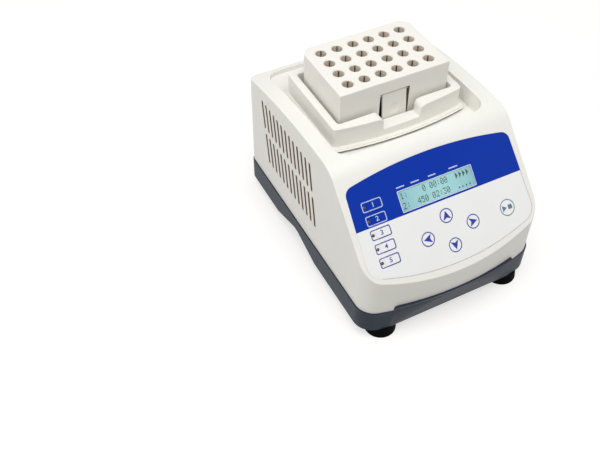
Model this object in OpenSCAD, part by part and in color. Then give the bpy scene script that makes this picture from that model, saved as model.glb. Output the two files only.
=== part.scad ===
// Block and microplate mixer: a desk-top housing with a tray that orbits on crank pins and carries
// a lift-out block for small tubes. Millimetres. X points right, Y to the rear and Z up from the
// table, with the origin below the middle of the footprint.

/* [Housing] */
// Width of the housing at its parting line
body_w = 199; // [194:1:206]
// Depth of the upper housing, from the rear face to the middle of the bowed front
body_d = 271; // [266:1:280]
// Height of the deck at its crown
deck_h = 165.5; // [162:0.5:170]
// Radius of the crowned deck, seen from the side
deck_r = 670; // [550:10:1000]
// Distance from the rear face to the highest line of the deck
crown_back = 147.5; // [142:0.5:152]
// Radius of the bend from the deck down to the control panel
crown_r = 30; // [24:1:36]
// How far each side leans in between the parting line and the crown
side_lean = 1; // [0.5:0.25:2.5]
// Radius of the bowed front, seen from above
bow_r = 330; // [290:10:420]
// Radius of the upright front corners
front_corner_r = 20; // [17:1:24]
// Radius of the upright rear corners
rear_corner_r = 9; // [7:1:14]
// Thickness of the moulded walls
wall = 3; // [2.6:0.1:3.4]

/* [Base] */
// Height of the parting line between base and upper housing
split_h = 39; // [36:0.5:42]
// Height of the rubber feet, which is the clearance under the base
foot_h = 13; // [10:0.5:15]
// Diameter of the rubber feet
foot_d = 33; // [28:1:34]
// Distance of the foot axes from the sides
foot_side = 25.5; // [22:0.5:29]
// Distance of the foot axes from the front and rear faces
foot_inset = 21.5; // [20:0.5:26]
// Step back of the base's front and rear below the parting line
base_inset = 0.8; // [0.4:0.1:1.2]
// How far the base stands out from the housing's sides
base_side = 1.4; // [0.8:0.1:2]
// Radius of the base's front, which is flatter than the housing's
base_bow_r = 400; // [360:10:500]
// How far the foot of the bowed front leans back
base_taper = 7.5; // [5:0.5:9]
// Width of the raised step in the middle of the front
step_w = 139; // [124:1:144]
// Height of the top of the front step
step_h = 45.5; // [44:0.5:48]
// How far the front step stands proud of the upper housing
step_proud = 2; // [1:0.25:3]
// Radius of the step's upper corners
step_r = 4; // [2:0.5:5]
// Height of the hand grips cut in the lower side edges
grip_h = 12; // [9:0.5:14]
// Length of a hand grip along the lower edge
grip_l = 100; // [92:1:104]
// Length of the level top of a hand grip
grip_top_l = 8; // [6:1:16]
// Depth of a hand grip in from the side
grip_in = 16; // [12:0.5:20]
// Distance of the hand grips from the rear face
grip_back = 115; // [110:1:120]

/* [Side vents] */
// Number of slanted slots in each row
vent_count = 13; // [9:1:14]
// Width of a slot
vent_slot = 3.6; // [2.6:0.1:4]
// Height of the lower end of the lower row
vent_low = 67.3; // [62:0.1:72]
// Height of the lower row
vent_low_h = 36; // [30:0.5:38]
// Height of the upper row
vent_high_h = 32.5; // [28:0.5:34]
// Plain band between the rows
vent_band = 6.7; // [5:0.1:8]
// Slant of the slots from upright
vent_slant = 11.5; // [6:0.5:15]
// Distance from the rear face to the foot of the rearmost slot
vent_back = 50; // [46:0.5:56]
// Distance from the front of the housing to the foot of the foremost slot
vent_front = 115.64; // [113:0.02:125]

/* [Control panel] */
// Slope of the control panel
panel_angle = 45; // [43:0.5:47]
// Height at which the panel slope meets the middle of the front
lip_h = 72; // [69:0.5:75]
// Distance up the slope from the lip to the border of the two colour fields
panel_up = 68.6; // [67:0.1:70]
// Thickness of the printed overlay film
overlay_t = 0.5; // [0.3:0.1:0.7]
// Reach of the overlay up the slope from the colour border
overlay_top = 49.5; // [47:0.5:50]
// Reach of the overlay down the slope from the colour border
overlay_low = 61.4; // [59:0.2:62.4]
// Distance of the overlay's upper corners from the sides of the housing
overlay_top_side = 9; // [8:0.5:12.5]
// Distance of the overlay's lower corners from the sides of the housing
overlay_low_side = 4.5; // [4:0.5:8]
// Radius of the bowed upper edge of the overlay
overlay_top_bow_r = 450; // [400:10:700]
// Radius of the bowed lower edge of the overlay
overlay_low_bow_r = 270; // [250:10:320]
// Radius of the overlay's upper corners
overlay_top_r = 9; // [5:0.5:12]
// Radius of the overlay's lower corners
overlay_low_r = 16; // [12:0.5:18]
// Distance of the display window from the sides of the housing
display_side = 58.5; // [57.5:0.5:61.5]
// Height of the display window
display_l = 20; // [17:0.5:21]
// Distance of the window's middle up the slope from the colour border
display_v = 12.5; // [11.5:0.1:14]

/* [Keys] */
// Travel of every key
key_travel = 0.4; // [0.2:0.05:0.6]
// Gap around a key in the overlay
key_gap = 0.2; // [0.15:0.05:0.3]
// Diameter of an arrow key
arrow_d = 14.4; // [12:0.2:15]
// Distance of the arrow pad's middle down the slope from the colour border
arrow_v = 29.7; // [28.5:0.1:31]
// Distance of the left and right keys from the pad's middle
arrow_side = 25.6; // [22:0.1:28]
// Distance of the up and down keys from the pad's middle
arrow_rise = 14.8; // [13.5:0.1:15.5]
// Diameter of the start and stop key
start_d = 16.8; // [14:0.2:17]
// Distance of the start and stop key from the right side
start_side = 33.5; // [31.5:0.5:41.5]
// Distance from the left side to the middle of the preset keys' printed frames
preset_side = 30.2; // [29:0.1:31.5]
// Width of a preset key's printed frame
preset_w = 21.6; // [20:0.2:22.4]
// Height of a preset key's printed frame
preset_l = 10.2; // [8:0.2:10.8]
// Distance between preset keys
preset_pitch = 13.6; // [11.8:0.1:13.8]
// Distance of the top preset key up the slope from the colour border
preset_top = 19.7; // [18.5:0.1:20.5]
// Width of the lamp's place at the left end of a preset key
preset_lamp_w = 5.4; // [4.8:0.1:6]
// Diameter of the lamps
lamp_d = 3; // [2:0.1:3.4]

/* [Pocket and tray] */
// Depth of the pocket in the deck below the crown
pocket_depth = 19.5; // [18:0.5:22]
// Width of the pocket
pocket_w = 164; // [162:0.5:170]
// Length of the pocket from front to rear
pocket_l = 162; // [160:0.5:164]
// Distance from the rear face of the housing to the pocket
pocket_back = 7.5; // [6.5:0.1:9]
// Plan radius of the pocket corners
pocket_r = 15; // [12:0.5:18]
// Distance from the rear face to the middle of the tray
tray_back = 89.2; // [88:0.1:91]
// Inside width of the tray, a standard microplate plus clearance
tray_in_w = 128.6; // [128:0.1:130]
// Inside depth of the tray, a standard microplate plus clearance
tray_in_d = 86.6; // [86:0.1:88]
// Thickness of the tray's end walls
tray_end_t = 8; // [6:0.1:9]
// Thickness of the tray's rear wall
tray_rear_t = 6.2; // [5.6:0.1:7]
// Thickness of the tray's front wall in the middle of its bow
tray_front_t = 13.2; // [12:0.1:15]
// Height of the tray rim above its flange
tray_rim_h = 21.5; // [18:0.5:24]
// Thickness of the tray floor
tray_floor_t = 3; // [2.4:0.1:3.6]
// Height of the tray floor above its flange
tray_sill = 2; // [1:0.25:3]
// Plan radius of the tray's outer corners
tray_r = 4.5; // [3:0.25:6]
// Width of the flange past the tray walls at the ends
flange_out = 4.6; // [3.5:0.1:6]
// Plan radius of the flange's corners
flange_r = 7; // [5:0.5:9]
// Height of one of the two steps of the flange edge
flange_step = 1; // [0.8:0.1:1.4]
// Width of the upper step of the flange edge
flange_ledge = 1.6; // [1:0.1:2.4]
// Reach of the flange in front of the tray
flange_front = 5.8; // [4:0.1:8]
// Reach of the flange behind the tray
flange_back = 7; // [5:0.5:9]
// Radius of the bowed front edge of the flange
flange_bow_r = 380; // [300:10:500]
// Gap between the flange and the pocket floor
tray_gap = 2; // [1.6:0.1:3]
// Width of the finger notch in the front wall of the tray
notch_w = 41; // [38:0.5:46]
// Depth of the notch below the tray rim
notch_deep = 13.2; // [10:0.1:14]
// Radius at the upper ends of the notch
notch_r = 6; // [4:0.25:8]

/* [Tube block] */
// Number of wells across the block
well_cols = 6; // [4:1:6]
// Number of wells from front to rear
well_rows = 4; // [2:1:4]
// Distance between wells
well_pitch = 18; // [17:0.1:18.2]
// Bore of a well, for small closed tubes
well_d = 11; // [10.4:0.1:11.6]
// Depth of a well
well_depth = 40; // [34:0.5:42]
// Countersink at the mouth of a well
well_chamfer = 0.8; // [0.4:0.1:1.2]
// Wall of a well's socket
socket_t = 1.4; // [1.2:0.1:1.6]
// Width of the slit in each socket
slit_w = 1.2; // [0.8:0.1:1.6]
// Direction of the slits, from the right
slit_angle = 60; // [45:1:75]
// Width of the block
block_w = 121.5; // [116:0.5:122]
// Depth of the block
block_d = 82; // [81:0.5:84]
// Height of the block
block_h = 47.8; // [46:0.1:52]
// Chamfer of the block's rear upright corners
block_chamfer = 8; // [5:0.5:10]
// Thickness of the block's outer walls
block_wall = 2.4; // [2:0.1:2.8]
// Thickness of the block's top
block_top = 3; // [2.4:0.1:4]
// Gap between the block and the tray's rear wall
block_clear = 0.5; // [0.4:0.05:0.7]
// Gap between the block and the tray floor
block_seat = 0.2; // [0.1:0.05:0.3]
// Length of a rear lug of the block
lug_l = 12; // [9:0.5:14]
// Height and reach of a rear lug
lug_t = 3; // [2:0.1:3.4]
// Distance of the lugs from the ends of the block
lug_in = 22; // [18:0.5:26]
// Clearance of the lugs in the tray's grooves
lug_clear = 0.5; // [0.3:0.1:0.8]

/* [Block latch] */
// Width of the latch plate
latch_w = 27; // [24:0.5:28]
// Thickness of the latch plate
latch_t = 2.2; // [1.8:0.1:2.4]
// Distance of the latch recess below the top of the block
latch_down = 14; // [12:0.5:16]
// Gap between the latch plate and the sides of its recess
latch_side = 3; // [2:0.25:3.5]
// Gap over the latch plate
latch_over = 1.8; // [1.4:0.1:2.4]
// Gap under the latch plate
latch_under = 1.4; // [1:0.1:2]
// Depth of the latch recess
latch_in = 5.2; // [5:0.1:5.4]
// Forward lean of the latch at rest, which is its travel
latch_lean = 8; // [5:0.5:9]
// Diameter of the latch's pivot pin
latch_pin_d = 2; // [1.6:0.1:2.2]
// Diameter of the finger dimple
dimple_d = 12.5; // [10:0.5:14]
// Depth of the finger dimple
dimple_depth = 0.7; // [0.4:0.1:0.9]

/* [Drive] */
// Throw of the crank pins, half the orbit
throw = 1.5; // [1:0.1:1.6]
// Distance of the idler cranks from the middle plane
idler_x = 44; // [40:0.5:46]
// Distance of the idler cranks from the tray's middle, to the front and to the rear
idler_y = 22; // [20:0.5:24]
// Diameter of the crank pins and journals
pin_d = 6; // [5:0.25:6.5]
// Running gap around a pin
pin_gap = 0.1; // [0.05:0.05:0.15]
// Outside diameter of the ball bearings
bearing_d = 13; // [12:0.5:14]
// Width of the ball bearings
bearing_t = 5; // [4:0.25:5.5]
// Wall of the bearing cups under the platform
cup_t = 3; // [2.4:0.1:3.4]
// Thickness of the platform plate under the tray
platform_t = 4; // [3:0.25:4.5]
// Gap between turning and standing pieces of the drive
drive_gap = 1; // [0.6:0.1:1.4]
// Thickness of the crank discs
crank_t = 5; // [4:0.25:6]
// Diameter of the idler crank discs
idler_d = 16; // [14:0.5:18]
// Diameter of the driven crank's hub
hub_d = 18; // [16:0.5:20]
// Height of the driven crank's hub above the chassis
hub_h = 13; // [12:0.5:15]
// Radius of the counterweight
weight_r = 25; // [20:0.5:27]
// Thickness of the counterweight
weight_t = 5; // [4:0.25:6]
// Thickness of the steel chassis plate
chassis_t = 3; // [2:0.25:4]
// Diameter of the posts that carry the chassis
post_d = 10; // [9:0.5:11]
// Diameter of the motor
motor_d = 50; // [44:1:56]
// Length of the motor
motor_l = 38; // [30:1:40]
// Diameter of the motor shaft
shaft_d = 5; // [4:0.25:6]

/* [Electronics] */
// Thickness of the circuit boards
board_t = 1.6; // [1:0.1:2]
// Height of the board standoffs
standoff_h = 8; // [6:0.5:10]
// Width of the control board
control_w = 130; // [110:1:140]
// Depth of the control board
control_d = 70; // [60:1:76]
// Width of the power supply board
supply_w = 120; // [100:1:126]
// Depth of the power supply board
supply_d = 58; // [50:1:62]
// Reach of the display module's board past each end of the window
lcd_edge = 13; // [11:0.25:14]
// Height of the display module's board
lcd_l = 36; // [32:0.5:37]

/* [Rear connections] */
// Height of the middle of the rear connections
rear_h = 80; // [74:0.5:90]
// Depth of the recess for the rear connections
rear_recess = 3; // [2:0.25:4]
// Width of the power inlet's flange
inlet_w = 31; // [29:0.5:33]
// Height of the power inlet's flange
inlet_h = 24; // [22:0.5:26]
// Distance of the power inlet from the middle plane
inlet_x = 40; // [36:0.5:44]
// Width of the power switch frame
switch_w = 15; // [13:0.5:17]
// Height of the power switch frame
switch_h = 21; // [19:0.5:24]
// Distance of the power switch from the middle plane
switch_x = 10; // [6:0.5:14]
// Swing of the rocker from one side to the other
rocker_swing = 20; // [14:1:24]

/* [Fasteners] */
// Thread diameter of the housing, chassis, tray and foot screws
screw_d = 4; // [3:0.25:4.5]
// Thread diameter of the board screws
small_screw_d = 2.5; // [2:0.1:3]
// Gap around a screw in its hole
screw_gap = 0.1; // [0.05:0.05:0.2]

/* [Hidden] */

$fn = 72;
// Segments of the large arcs
arc_fn = 240;
// Extra length of a cut past the face it opens
over = 1;
// A length greater than the whole object
far = 2 * body_d;
// Gap along seams and around set-in pieces
seam = 0.25;
// How far a round corner's circle stands past the edges it joins, so that they cross cleanly
corner_bite = 0.01;
// How far the base's leaning front stands past the step's upper edge, so that they cross cleanly
lean_bite = 0.05;

// Colours
ivory = "#EFEDE6";
grey = "#4C5862";
black = "#1A1A1C";
steel = "#B9BDC2";
zinc = "#A9AEB4";
dark_steel = "#5B6066";
brass = "#C8A65A";
green = "#2F6B4A";
blue = "#1B3FA8";
teal = "#8CCDC6";
clear = "#CFE6E4";
amber = "#6B3A22";
red = "#7A1512";

// Screw heads as multiples of the thread, and the holes for screws
pan_w = 1.9;
pan_h = 0.7;
cap_w = 1.7;
cap_h = 0.8;
screw_hole = screw_d + 2 * screw_gap;
screw_pass = screw_d + 4 * screw_gap;
small_hole = small_screw_d + 2 * screw_gap;
small_pass = small_screw_d + 4 * screw_gap;
head_d = pan_w * screw_d;
head_pass = head_d + 4 * screw_gap;
// Gap left beyond the end of a screw in a blind hole
screw_end = 1;

// Places of the main faces
half_w = body_w / 2;
full_d = body_d + step_proud;
rear_y = full_d / 2;
front_y = rear_y - body_d;
base_low = foot_h;
floor_top = base_low + wall;

// Side profile: the deck arc, the panel slope and the bend between them
deck_c = [rear_y - crown_back, deck_h - deck_r];
slope_n = [-sin(panel_angle), cos(panel_angle)];
slope_c = slope_n * [front_y, lip_h];
bend_cos = (slope_c - crown_r - slope_n * deck_c) / (deck_r - crown_r);
bend_angle = panel_angle - acos(bend_cos);
crown_n = [-sin(bend_angle), cos(bend_angle)];
crown_c = deck_c + (deck_r - crown_r) * crown_n;
panel_org = [0, front_y + panel_up * cos(panel_angle), lip_h + panel_up * sin(panel_angle)];

// The overlay's leaning sides
overlay_top_w = body_w - 2 * overlay_top_side;
overlay_low_w = body_w - 2 * overlay_low_side;
overlay_lean = atan((overlay_low_w - overlay_top_w) / 2 / (overlay_top + overlay_low));
overlay_n = [cos(overlay_lean), sin(overlay_lean)];
overlay_up = [-sin(overlay_lean), cos(overlay_lean)];

// Heights of the pocket, the tray and the drive below it
pocket_floor = deck_h - pocket_depth;
pocket_rear = rear_y - pocket_back;
tray_y = rear_y - tray_back;
flange_low = pocket_floor + tray_gap;
flange_top = flange_low + 2 * flange_step;
tray_floor = flange_top + tray_sill;
tray_rim = flange_top + tray_rim_h;
tray_low = tray_floor - tray_floor_t;
platform_low = tray_low - platform_t;
cup_r = bearing_d / 2 + cup_t;
bearing_top = platform_low - cup_t;
cup_low = bearing_top - bearing_t - drive_gap / 2;
crank_top = cup_low - drive_gap;
pin_top = bearing_top + drive_gap / 2;
chassis_top = crank_top - hub_h - drive_gap;
chassis_low = chassis_top - chassis_t;

// The platform, the pocket's opening for it and the chassis with its posts
plate_edge = 3;
opening_clear = 2;
opening_gap = 2 * throw + opening_clear;
platform_w = 2 * (idler_x + cup_r + plate_edge);
platform_d = 2 * (idler_y + cup_r + plate_edge);
opening_w = platform_w + 2 * opening_gap;
opening_d = platform_d + 2 * opening_gap;
post_x = opening_w / 2 + post_d / 2 + over;
post_y = opening_d / 2 - post_d / 2;
chassis_w = 2 * post_x + post_d + 2 * plate_edge;
chassis_d = 2 * post_y + post_d + 2 * plate_edge;
chassis_posts = [for (s = [-1, 1], t = [-1, 1]) [s * post_x, tray_y + t * post_y]];

// The crank axes, and the pins that stand in front of them at rest
axis_y = tray_y + throw;
drive_axis = [0, axis_y];
drive_pin = [0, tray_y];
idler_axes = [for (s = [-1, 1], t = [-1, 1]) [s * idler_x, axis_y + t * idler_y]];
idler_pins = [for (p = idler_axes) p - [0, throw]];
platform_pins = concat(idler_pins, [drive_pin]);
pin_hole = pin_d + 2 * pin_gap;
bush_wall = 2;
bush_d = pin_d + 2 * bush_wall;
bush_low = chassis_low - plate_edge;
bush_top = chassis_top + bush_wall;

// The motor, its shaft and the screws around it
motor_edge = 7;
motor_ring = motor_d / 2 - motor_edge;
motor_holes = [for (a = [45:90:315]) drive_axis + motor_ring * [cos(a), sin(a)]];
motor_bite = 5;
motor_boss = 2;
shaft_in = 20;
shaft_top = crank_top - crank_t;
shaft_hole = shaft_d + 2 * pin_gap;
set_edge = 1.2;
set_h = crank_top - hub_h + screw_d / 2 + set_edge;
weight_top = crank_top - drive_gap;

// The tray, and the screws that hold it on the platform
tray_w = tray_in_w + 2 * tray_end_t;
tray_front_in = tray_y - tray_in_d / 2;
tray_rear_in = tray_y + tray_in_d / 2;
tray_front = tray_front_in - tray_front_t;
tray_rear = tray_rear_in + tray_rear_t;
flange_w = tray_w + 2 * flange_out;
notch_low = tray_rim - notch_deep;
tray_in_r = 3;
tray_holes = [for (x = [-idler_x, -idler_x / 2, idler_x / 2, idler_x]) [x, tray_y]];
sink_d = 2 * screw_d;
sink_h = 2;
tray_bite = platform_t - screw_end / 2;

// Places of the tube block, its wells and its lugs
block_y = tray_rear_in - block_clear - block_d / 2;
block_front = block_y - block_d / 2;
block_low = tray_floor + block_seat;
block_high = block_low + block_h;
well_low = block_high - well_depth;
wells = [for (i = [0:well_cols - 1], j = [0:well_rows - 1])
    [(i - (well_cols - 1) / 2) * well_pitch, block_y + (j - (well_rows - 1) / 2) * well_pitch]];
socket_d = well_d + 2 * socket_t;
socket_floor = 2;
lug_xs = [for (s = [-1, 1]) s * (block_w / 2 - lug_in)];

// The latch, its recess and the nose that it holds under the notch's sill
latch_high = block_high - latch_down;
barrel_wall = 1;
latch_barrel = latch_pin_d + 2 * barrel_wall;
latch_back = 0.4;
latch_rec_w = latch_w + 2 * latch_side;
latch_liner = 1.2;
latch_pin_l = latch_rec_w + 2 * block_wall;
latch_axis = [
    0,
    block_front + latch_in - latch_barrel / 2 - latch_back,
    latch_high - latch_over - latch_barrel / 2
];
latch_h = latch_axis[2] - tray_floor - latch_under;
latch_nose = 1.6;
nose_h = 2;
nose_clear = 0.6;
nose_out = latch_barrel / 2 + latch_nose;
nose_y = latch_axis[1] - nose_out * cos(latch_lean) - latch_h * sin(latch_lean);
nose_low = latch_axis[2] + nose_out * sin(latch_lean) - latch_h * cos(latch_lean);
dimple_ball = (dimple_d * dimple_d / 4 + dimple_depth * dimple_depth) / (2 * dimple_depth);
dimple_down = 16.7;

// Places behind the control panel, measured down from its face
display_w = body_w - 2 * display_side;
lcd_w = display_w + 2 * lcd_edge;
panel_in = -wall;
inner_gap = 0.3;
press_gap = 0.1;
stem_d = 5;
stem_low = panel_in - inner_gap;
switch_size = 6;
switch_body_h = 3.5;
plunger_d = 3.4;
plunger_h = 0.6;
plunger_top = stem_low - key_travel - press_gap;
keypad_top = plunger_top - plunger_h - switch_body_h;
key_seat = overlay_t + key_travel + press_gap;
window_flange = 1;
window_edge = 3;
window_glue = 0.1;
lcd_bezel_h = 6;
lcd_bezel_edge = 5;
lcd_bezel_side = 1;
lcd_top = panel_in - window_glue - window_flange - inner_gap;
lcd_board_top = lcd_top - lcd_bezel_h;
panel_post_wall = 1.75;
panel_post_d = small_screw_d + 2 * panel_post_wall;

// Places of the keys and lamps on the panel
start_u = half_w - start_side;
preset_u = half_w - preset_side;
preset_edge = preset_u + preset_w / 2;
preset_count = 5;
preset_r = 2;
pad_w = preset_w - preset_lamp_w;
pad_u = -preset_edge + preset_lamp_w + pad_w / 2;
lamp_u = -preset_edge + preset_lamp_w / 2;
arrow_keys = [
    [0, -arrow_v + arrow_rise],
    [0, -arrow_v - arrow_rise],
    [-arrow_side, -arrow_v],
    [arrow_side, -arrow_v]
];
start_key = [start_u, -arrow_v];
preset_rows = [for (i = [0:preset_count - 1]) preset_top - i * preset_pitch];
key_centres = concat(arrow_keys, [start_key], [for (v = preset_rows) [pad_u, v]]);

// Outline of the keypad board, which leaves room for the display module
keypad_side = 6;
keypad_margin = 10;
keypad_lcd_gap = 2;
keypad_left = -preset_edge - keypad_side;
keypad_right = start_u + start_d / 2 + keypad_side;
keypad_low = -arrow_v - arrow_rise - keypad_margin;
keypad_high = preset_top + keypad_margin;
keypad_step = display_v - lcd_l / 2 - keypad_lcd_gap;
keypad_column = -lcd_w / 2 - keypad_lcd_gap;
boss_in = 4;
keypad_posts = [
    [keypad_left + boss_in, keypad_low + boss_in],
    [keypad_left + boss_in, keypad_high - boss_in],
    [keypad_right - boss_in, keypad_low + boss_in],
    [keypad_right - boss_in, keypad_step - boss_in]
];
lcd_posts = [for (s = [-1, 1], t = [-1, 1])
    [s * (lcd_w / 2 - boss_in), display_v + t * (lcd_l / 2 - boss_in)]];

// Screw bosses along the side walls, and the feet
boss_wall = 2.5;
boss_r = screw_d / 2 + boss_wall;
boss_bury = 2.5;
boss_x = half_w - wall - boss_r + boss_bury;
boss_front = 27;
boss_rear = 14;
boss_places = [for (s = [-1, 1], y = [front_y + front_corner_r + boss_front,
    rear_y - rear_corner_r - boss_rear]) [s * boss_x, y]];
boss_h = 32;
boss_top = split_h + boss_h;
head_deep = 8;
foot_x = half_w - foot_side;
foot_places = [for (s = [-1, 1], y = [front_y + foot_inset, rear_y - foot_inset]) [s * foot_x, y]];
foot_boss_h = 6;
foot_boss_top = floor_top + foot_boss_h;
foot_taper = 1.5;
grip_y = rear_y - grip_back;
vent_pitch = (body_d - vent_back - vent_front) / (vent_count - 1);
// The rib inside the seam that lines the two shells up
rib_t = 2;
rib_h = 4;

// Places of the boards on the base, and of the larger parts on the boards
board_low = floor_top + standoff_h;
part_low = board_low + board_t / 2;
control_front = 50;
supply_rear = 17;
control_y = front_y + control_front + control_d / 2;
supply_y = rear_y - supply_rear - supply_d / 2;
standoff_d = 6;
board_bite = 3;
control_posts = [for (s = [-1, 1], t = [-1, 1])
    [s * (control_w / 2 - boss_in), control_y + t * (control_d / 2 - boss_in)]];
supply_posts = [for (s = [-1, 1], t = [-1, 1])
    [s * (supply_w / 2 - boss_in), supply_y + t * (supply_d / 2 - boss_in)]];
board_posts = concat(control_posts, supply_posts);
processor = [16, 16, 4];
driver = [24, 8, 3];
plug_row = [12, 22, 12];
transformer = [34, 30, 24];
choke = [14, 18, 20];
heat_sink = [24, 4, 26];
small_cap_d = 8;
small_cap_h = 13;
small_cap_pitch = 12;
large_cap_d = 16;
large_cap_h = 25;

// Rear connections: the recess, the inlet and the rocker switch
connect_edge = 4;
connect_y = rear_y - rear_recess;
connect_left = -inlet_x - inlet_w / 2 - connect_edge;
connect_right = switch_x + switch_w / 2 + connect_edge;
connect_h = max(inlet_h, switch_h) + 2 * connect_edge;
inlet_depth = 24;
inlet_edge = 3;
inlet_shell = 2;
inlet_blade = [2, 15, 4];
switch_depth = 18;
switch_edge = 1.5;
switch_shell = 1.2;
rocker_gap = 0.3;
rocker_edge = 2;
rocker_face = 3.6;
rocker_back = 5;
rocker_sink = 2;
rocker_pin_d = 2.4;
rocker_w = switch_w - 2 * switch_edge - 2 * rocker_edge;
rocker_h = switch_h - 2 * switch_edge - 2 * rocker_edge;
rocker_axis = [switch_x, connect_y - rocker_sink, rear_h];
rocker_pin_l = rocker_w + 2 * rocker_gap + 2 * switch_shell;

// Half the distance between the leaning side walls at a height
function half_at(z, inset) = half_w - inset - side_lean * (z - split_h) / (deck_h - split_h);

// Half the width of the overlay at a height on the panel
function overlay_half(v, grow) =
    overlay_low_w / 2 + grow / cos(overlay_lean) - (v + overlay_low) * tan(overlay_lean);

// Radius and centre of the overlay's upper or lower bowed edge
function overlay_bow_r(upper) = upper ? overlay_top_bow_r : overlay_low_bow_r;
function overlay_bow(upper) = [0, upper ? overlay_top - overlay_top_bow_r : overlay_low_bow_r - overlay_low];

// Radius and centre of the overlay's upper or lower right corner, tangent to the side and to the bowed edge
function overlay_r(upper) = upper ? overlay_top_r : overlay_low_r;
function overlay_corner(upper) =
    let (
        start = [overlay_low_w / 2, -overlay_low] - overlay_r(upper) * overlay_n,
        from = start - overlay_bow(upper),
        along = from * overlay_up,
        reach = sqrt(along * along - from * from + pow(overlay_bow_r(upper) - overlay_r(upper), 2))
    )
    start + ((upper ? 1 : -1) * reach - along) * overlay_up;

// An upright rod or hole at a place in plan, between two heights
module rod(place, d, low, high) {
    translate([place[0], place[1], low]) cylinder(d = d, h = high - low);
}

// A rectangle with round corners, about its middle
module round_rect(w, d, r) {
    square([w - 2 * r, d], center = true);
    square([w, d - 2 * r], center = true);
    for (s = [-1, 1], t = [-1, 1])
        translate([s * (w / 2 - r), t * (d / 2 - r)]) circle(r);
}

// What a round corner takes off a sharp one: its centre, the normals of its two edges and its radius
module corner_cut(centre, n1, n2, r) {
    reach = r + over;
    difference() {
        polygon([
            centre, centre + reach * n1, centre + reach * (n1 + n2) / (1 + n1 * n2), centre + reach * n2
        ]);
        translate(centre) circle(r + corner_bite);
    }
}

// A plan with straight sides and rear, a bowed front and four round corners
module bowed_plan(half, rear, front, bow, front_r, rear_r) {
    bow_c = [0, front + bow];
    corner_y = bow_c[1] - sqrt(pow(bow - front_r, 2) - pow(half - front_r, 2));
    difference() {
        intersection() {
            translate([-half, front]) square([2 * half, rear - front]);
            translate(bow_c) circle(bow, $fn = arc_fn);
        }
        for (s = [-1, 1]) {
            corner = [s * (half - front_r), corner_y];
            corner_cut(corner, [s, 0], (corner - bow_c) / (bow - front_r), front_r);
            corner_cut([s * (half - rear_r), rear - rear_r], [s, 0], [0, 1], rear_r);
        }
    }
}

// The housing's plan, moved in by an inset
module housing_plan(inset) {
    bowed_plan(half_w - inset, rear_y - inset, front_y + inset, bow_r - inset,
        front_corner_r - inset, rear_corner_r - inset);
}

// The region below the deck arc and the panel slope, with Y to the right and Z up
module side_profile(inset) {
    difference() {
        intersection() {
            translate(deck_c) circle(deck_r - inset, $fn = arc_fn);
            translate([front_y, lip_h]) rotate(panel_angle)
                translate([-far, -far - inset]) square([2 * far, far]);
        }
        corner_cut(crown_c, crown_n, slope_n, crown_r - inset);
    }
}

// Pushes a profile drawn with Y to the right and Z up across the whole width
module across() {
    rotate([90, 0, 90]) translate([0, 0, -far / 2]) linear_extrude(far) children();
}

// The housing as a solid from a height up, moved in by an inset
module housing_body(inset, low) {
    high = deck_h + over;
    intersection() {
        translate([0, 0, low]) linear_extrude(high - low) housing_plan(inset);
        across() side_profile(inset);
        rotate([90, 0, 0]) translate([0, 0, -far / 2]) linear_extrude(far)
            polygon([[-half_at(low, inset), low], [half_at(low, inset), low],
                [half_at(high, inset), high], [-half_at(high, inset), high]]);
    }
}

// The pocket's plan, grown by a margin
module pocket_plan(grow) {
    translate([0, pocket_rear - pocket_l / 2])
        round_rect(pocket_w + 2 * grow, pocket_l + 2 * grow, pocket_r + grow);
}

// Moves children onto the panel: X along it, Y up its slope and Z out of it
module on_panel() {
    translate(panel_org) rotate([panel_angle, 0, 0]) children();
}

// The overlay's outline on the panel, grown by a gap
module overlay_plan(grow) {
    low_v = -overlay_low - over;
    high_v = overlay_top + over;
    difference() {
        intersection() {
            polygon([[-overlay_half(low_v, grow), low_v], [overlay_half(low_v, grow), low_v],
                [overlay_half(high_v, grow), high_v], [-overlay_half(high_v, grow), high_v]]);
            translate(overlay_bow(true)) circle(overlay_top_bow_r + grow, $fn = arc_fn);
            translate(overlay_bow(false)) circle(overlay_low_bow_r + grow, $fn = arc_fn);
        }
        for (s = [-1, 1], upper = [false, true]) {
            corner = overlay_corner(upper);
            bow_n = (corner - overlay_bow(upper)) / (overlay_bow_r(upper) - overlay_r(upper));
            corner_cut([s * corner[0], corner[1]], [s * overlay_n[0], overlay_n[1]],
                [s * bow_n[0], bow_n[1]], overlay_r(upper) + grow);
        }
    }
}

// The display window's outline on the panel, grown by a margin
module window_plan(grow) {
    translate([0, display_v]) square([display_w + 2 * grow, display_l + 2 * grow], center = true);
}

// The moving part of a key in plan, narrowed by a gap
module key_plan(i, gap) {
    if (i < len(arrow_keys)) circle(d = arrow_d - 2 * gap);
    else if (i == len(arrow_keys)) circle(d = start_d - 2 * gap);
    else round_rect(pad_w - 2 * gap, preset_l - 2 * gap, preset_r - gap);
}

// A layer on the panel between two depths
module layer(low, high) {
    translate([0, 0, low]) linear_extrude(high - low) children();
}

// Cuts through the panel for the overlay, keys, lamps and window
module panel_cuts() {
    on_panel() {
        layer(-overlay_t, over) overlay_plan(seam);
        layer(panel_in - over, 0) window_plan(seam);
        for (i = [0:len(key_centres) - 1]) {
            layer(-key_seat, 0) translate(key_centres[i]) key_plan(i, -key_gap);
            rod(key_centres[i], stem_d + 2 * key_gap, panel_in - over, 0);
        }
        for (v = preset_rows) rod([lamp_u, v], lamp_d + 2 * key_gap, panel_in - over, 0);
    }
}

// Posts behind the panel for the keypad and the display module
module panel_posts() {
    on_panel() {
        for (p = keypad_posts) rod(p, panel_post_d, keypad_top, panel_in + over);
        for (p = lcd_posts) rod(p, panel_post_d, lcd_board_top, panel_in + over);
    }
}

// Blind holes for the screws in the panel posts
module panel_post_holes() {
    on_panel() for (p = concat(keypad_posts, lcd_posts))
        rod(p, small_hole, lcd_board_top - over, panel_in - screw_gap);
}

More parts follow.
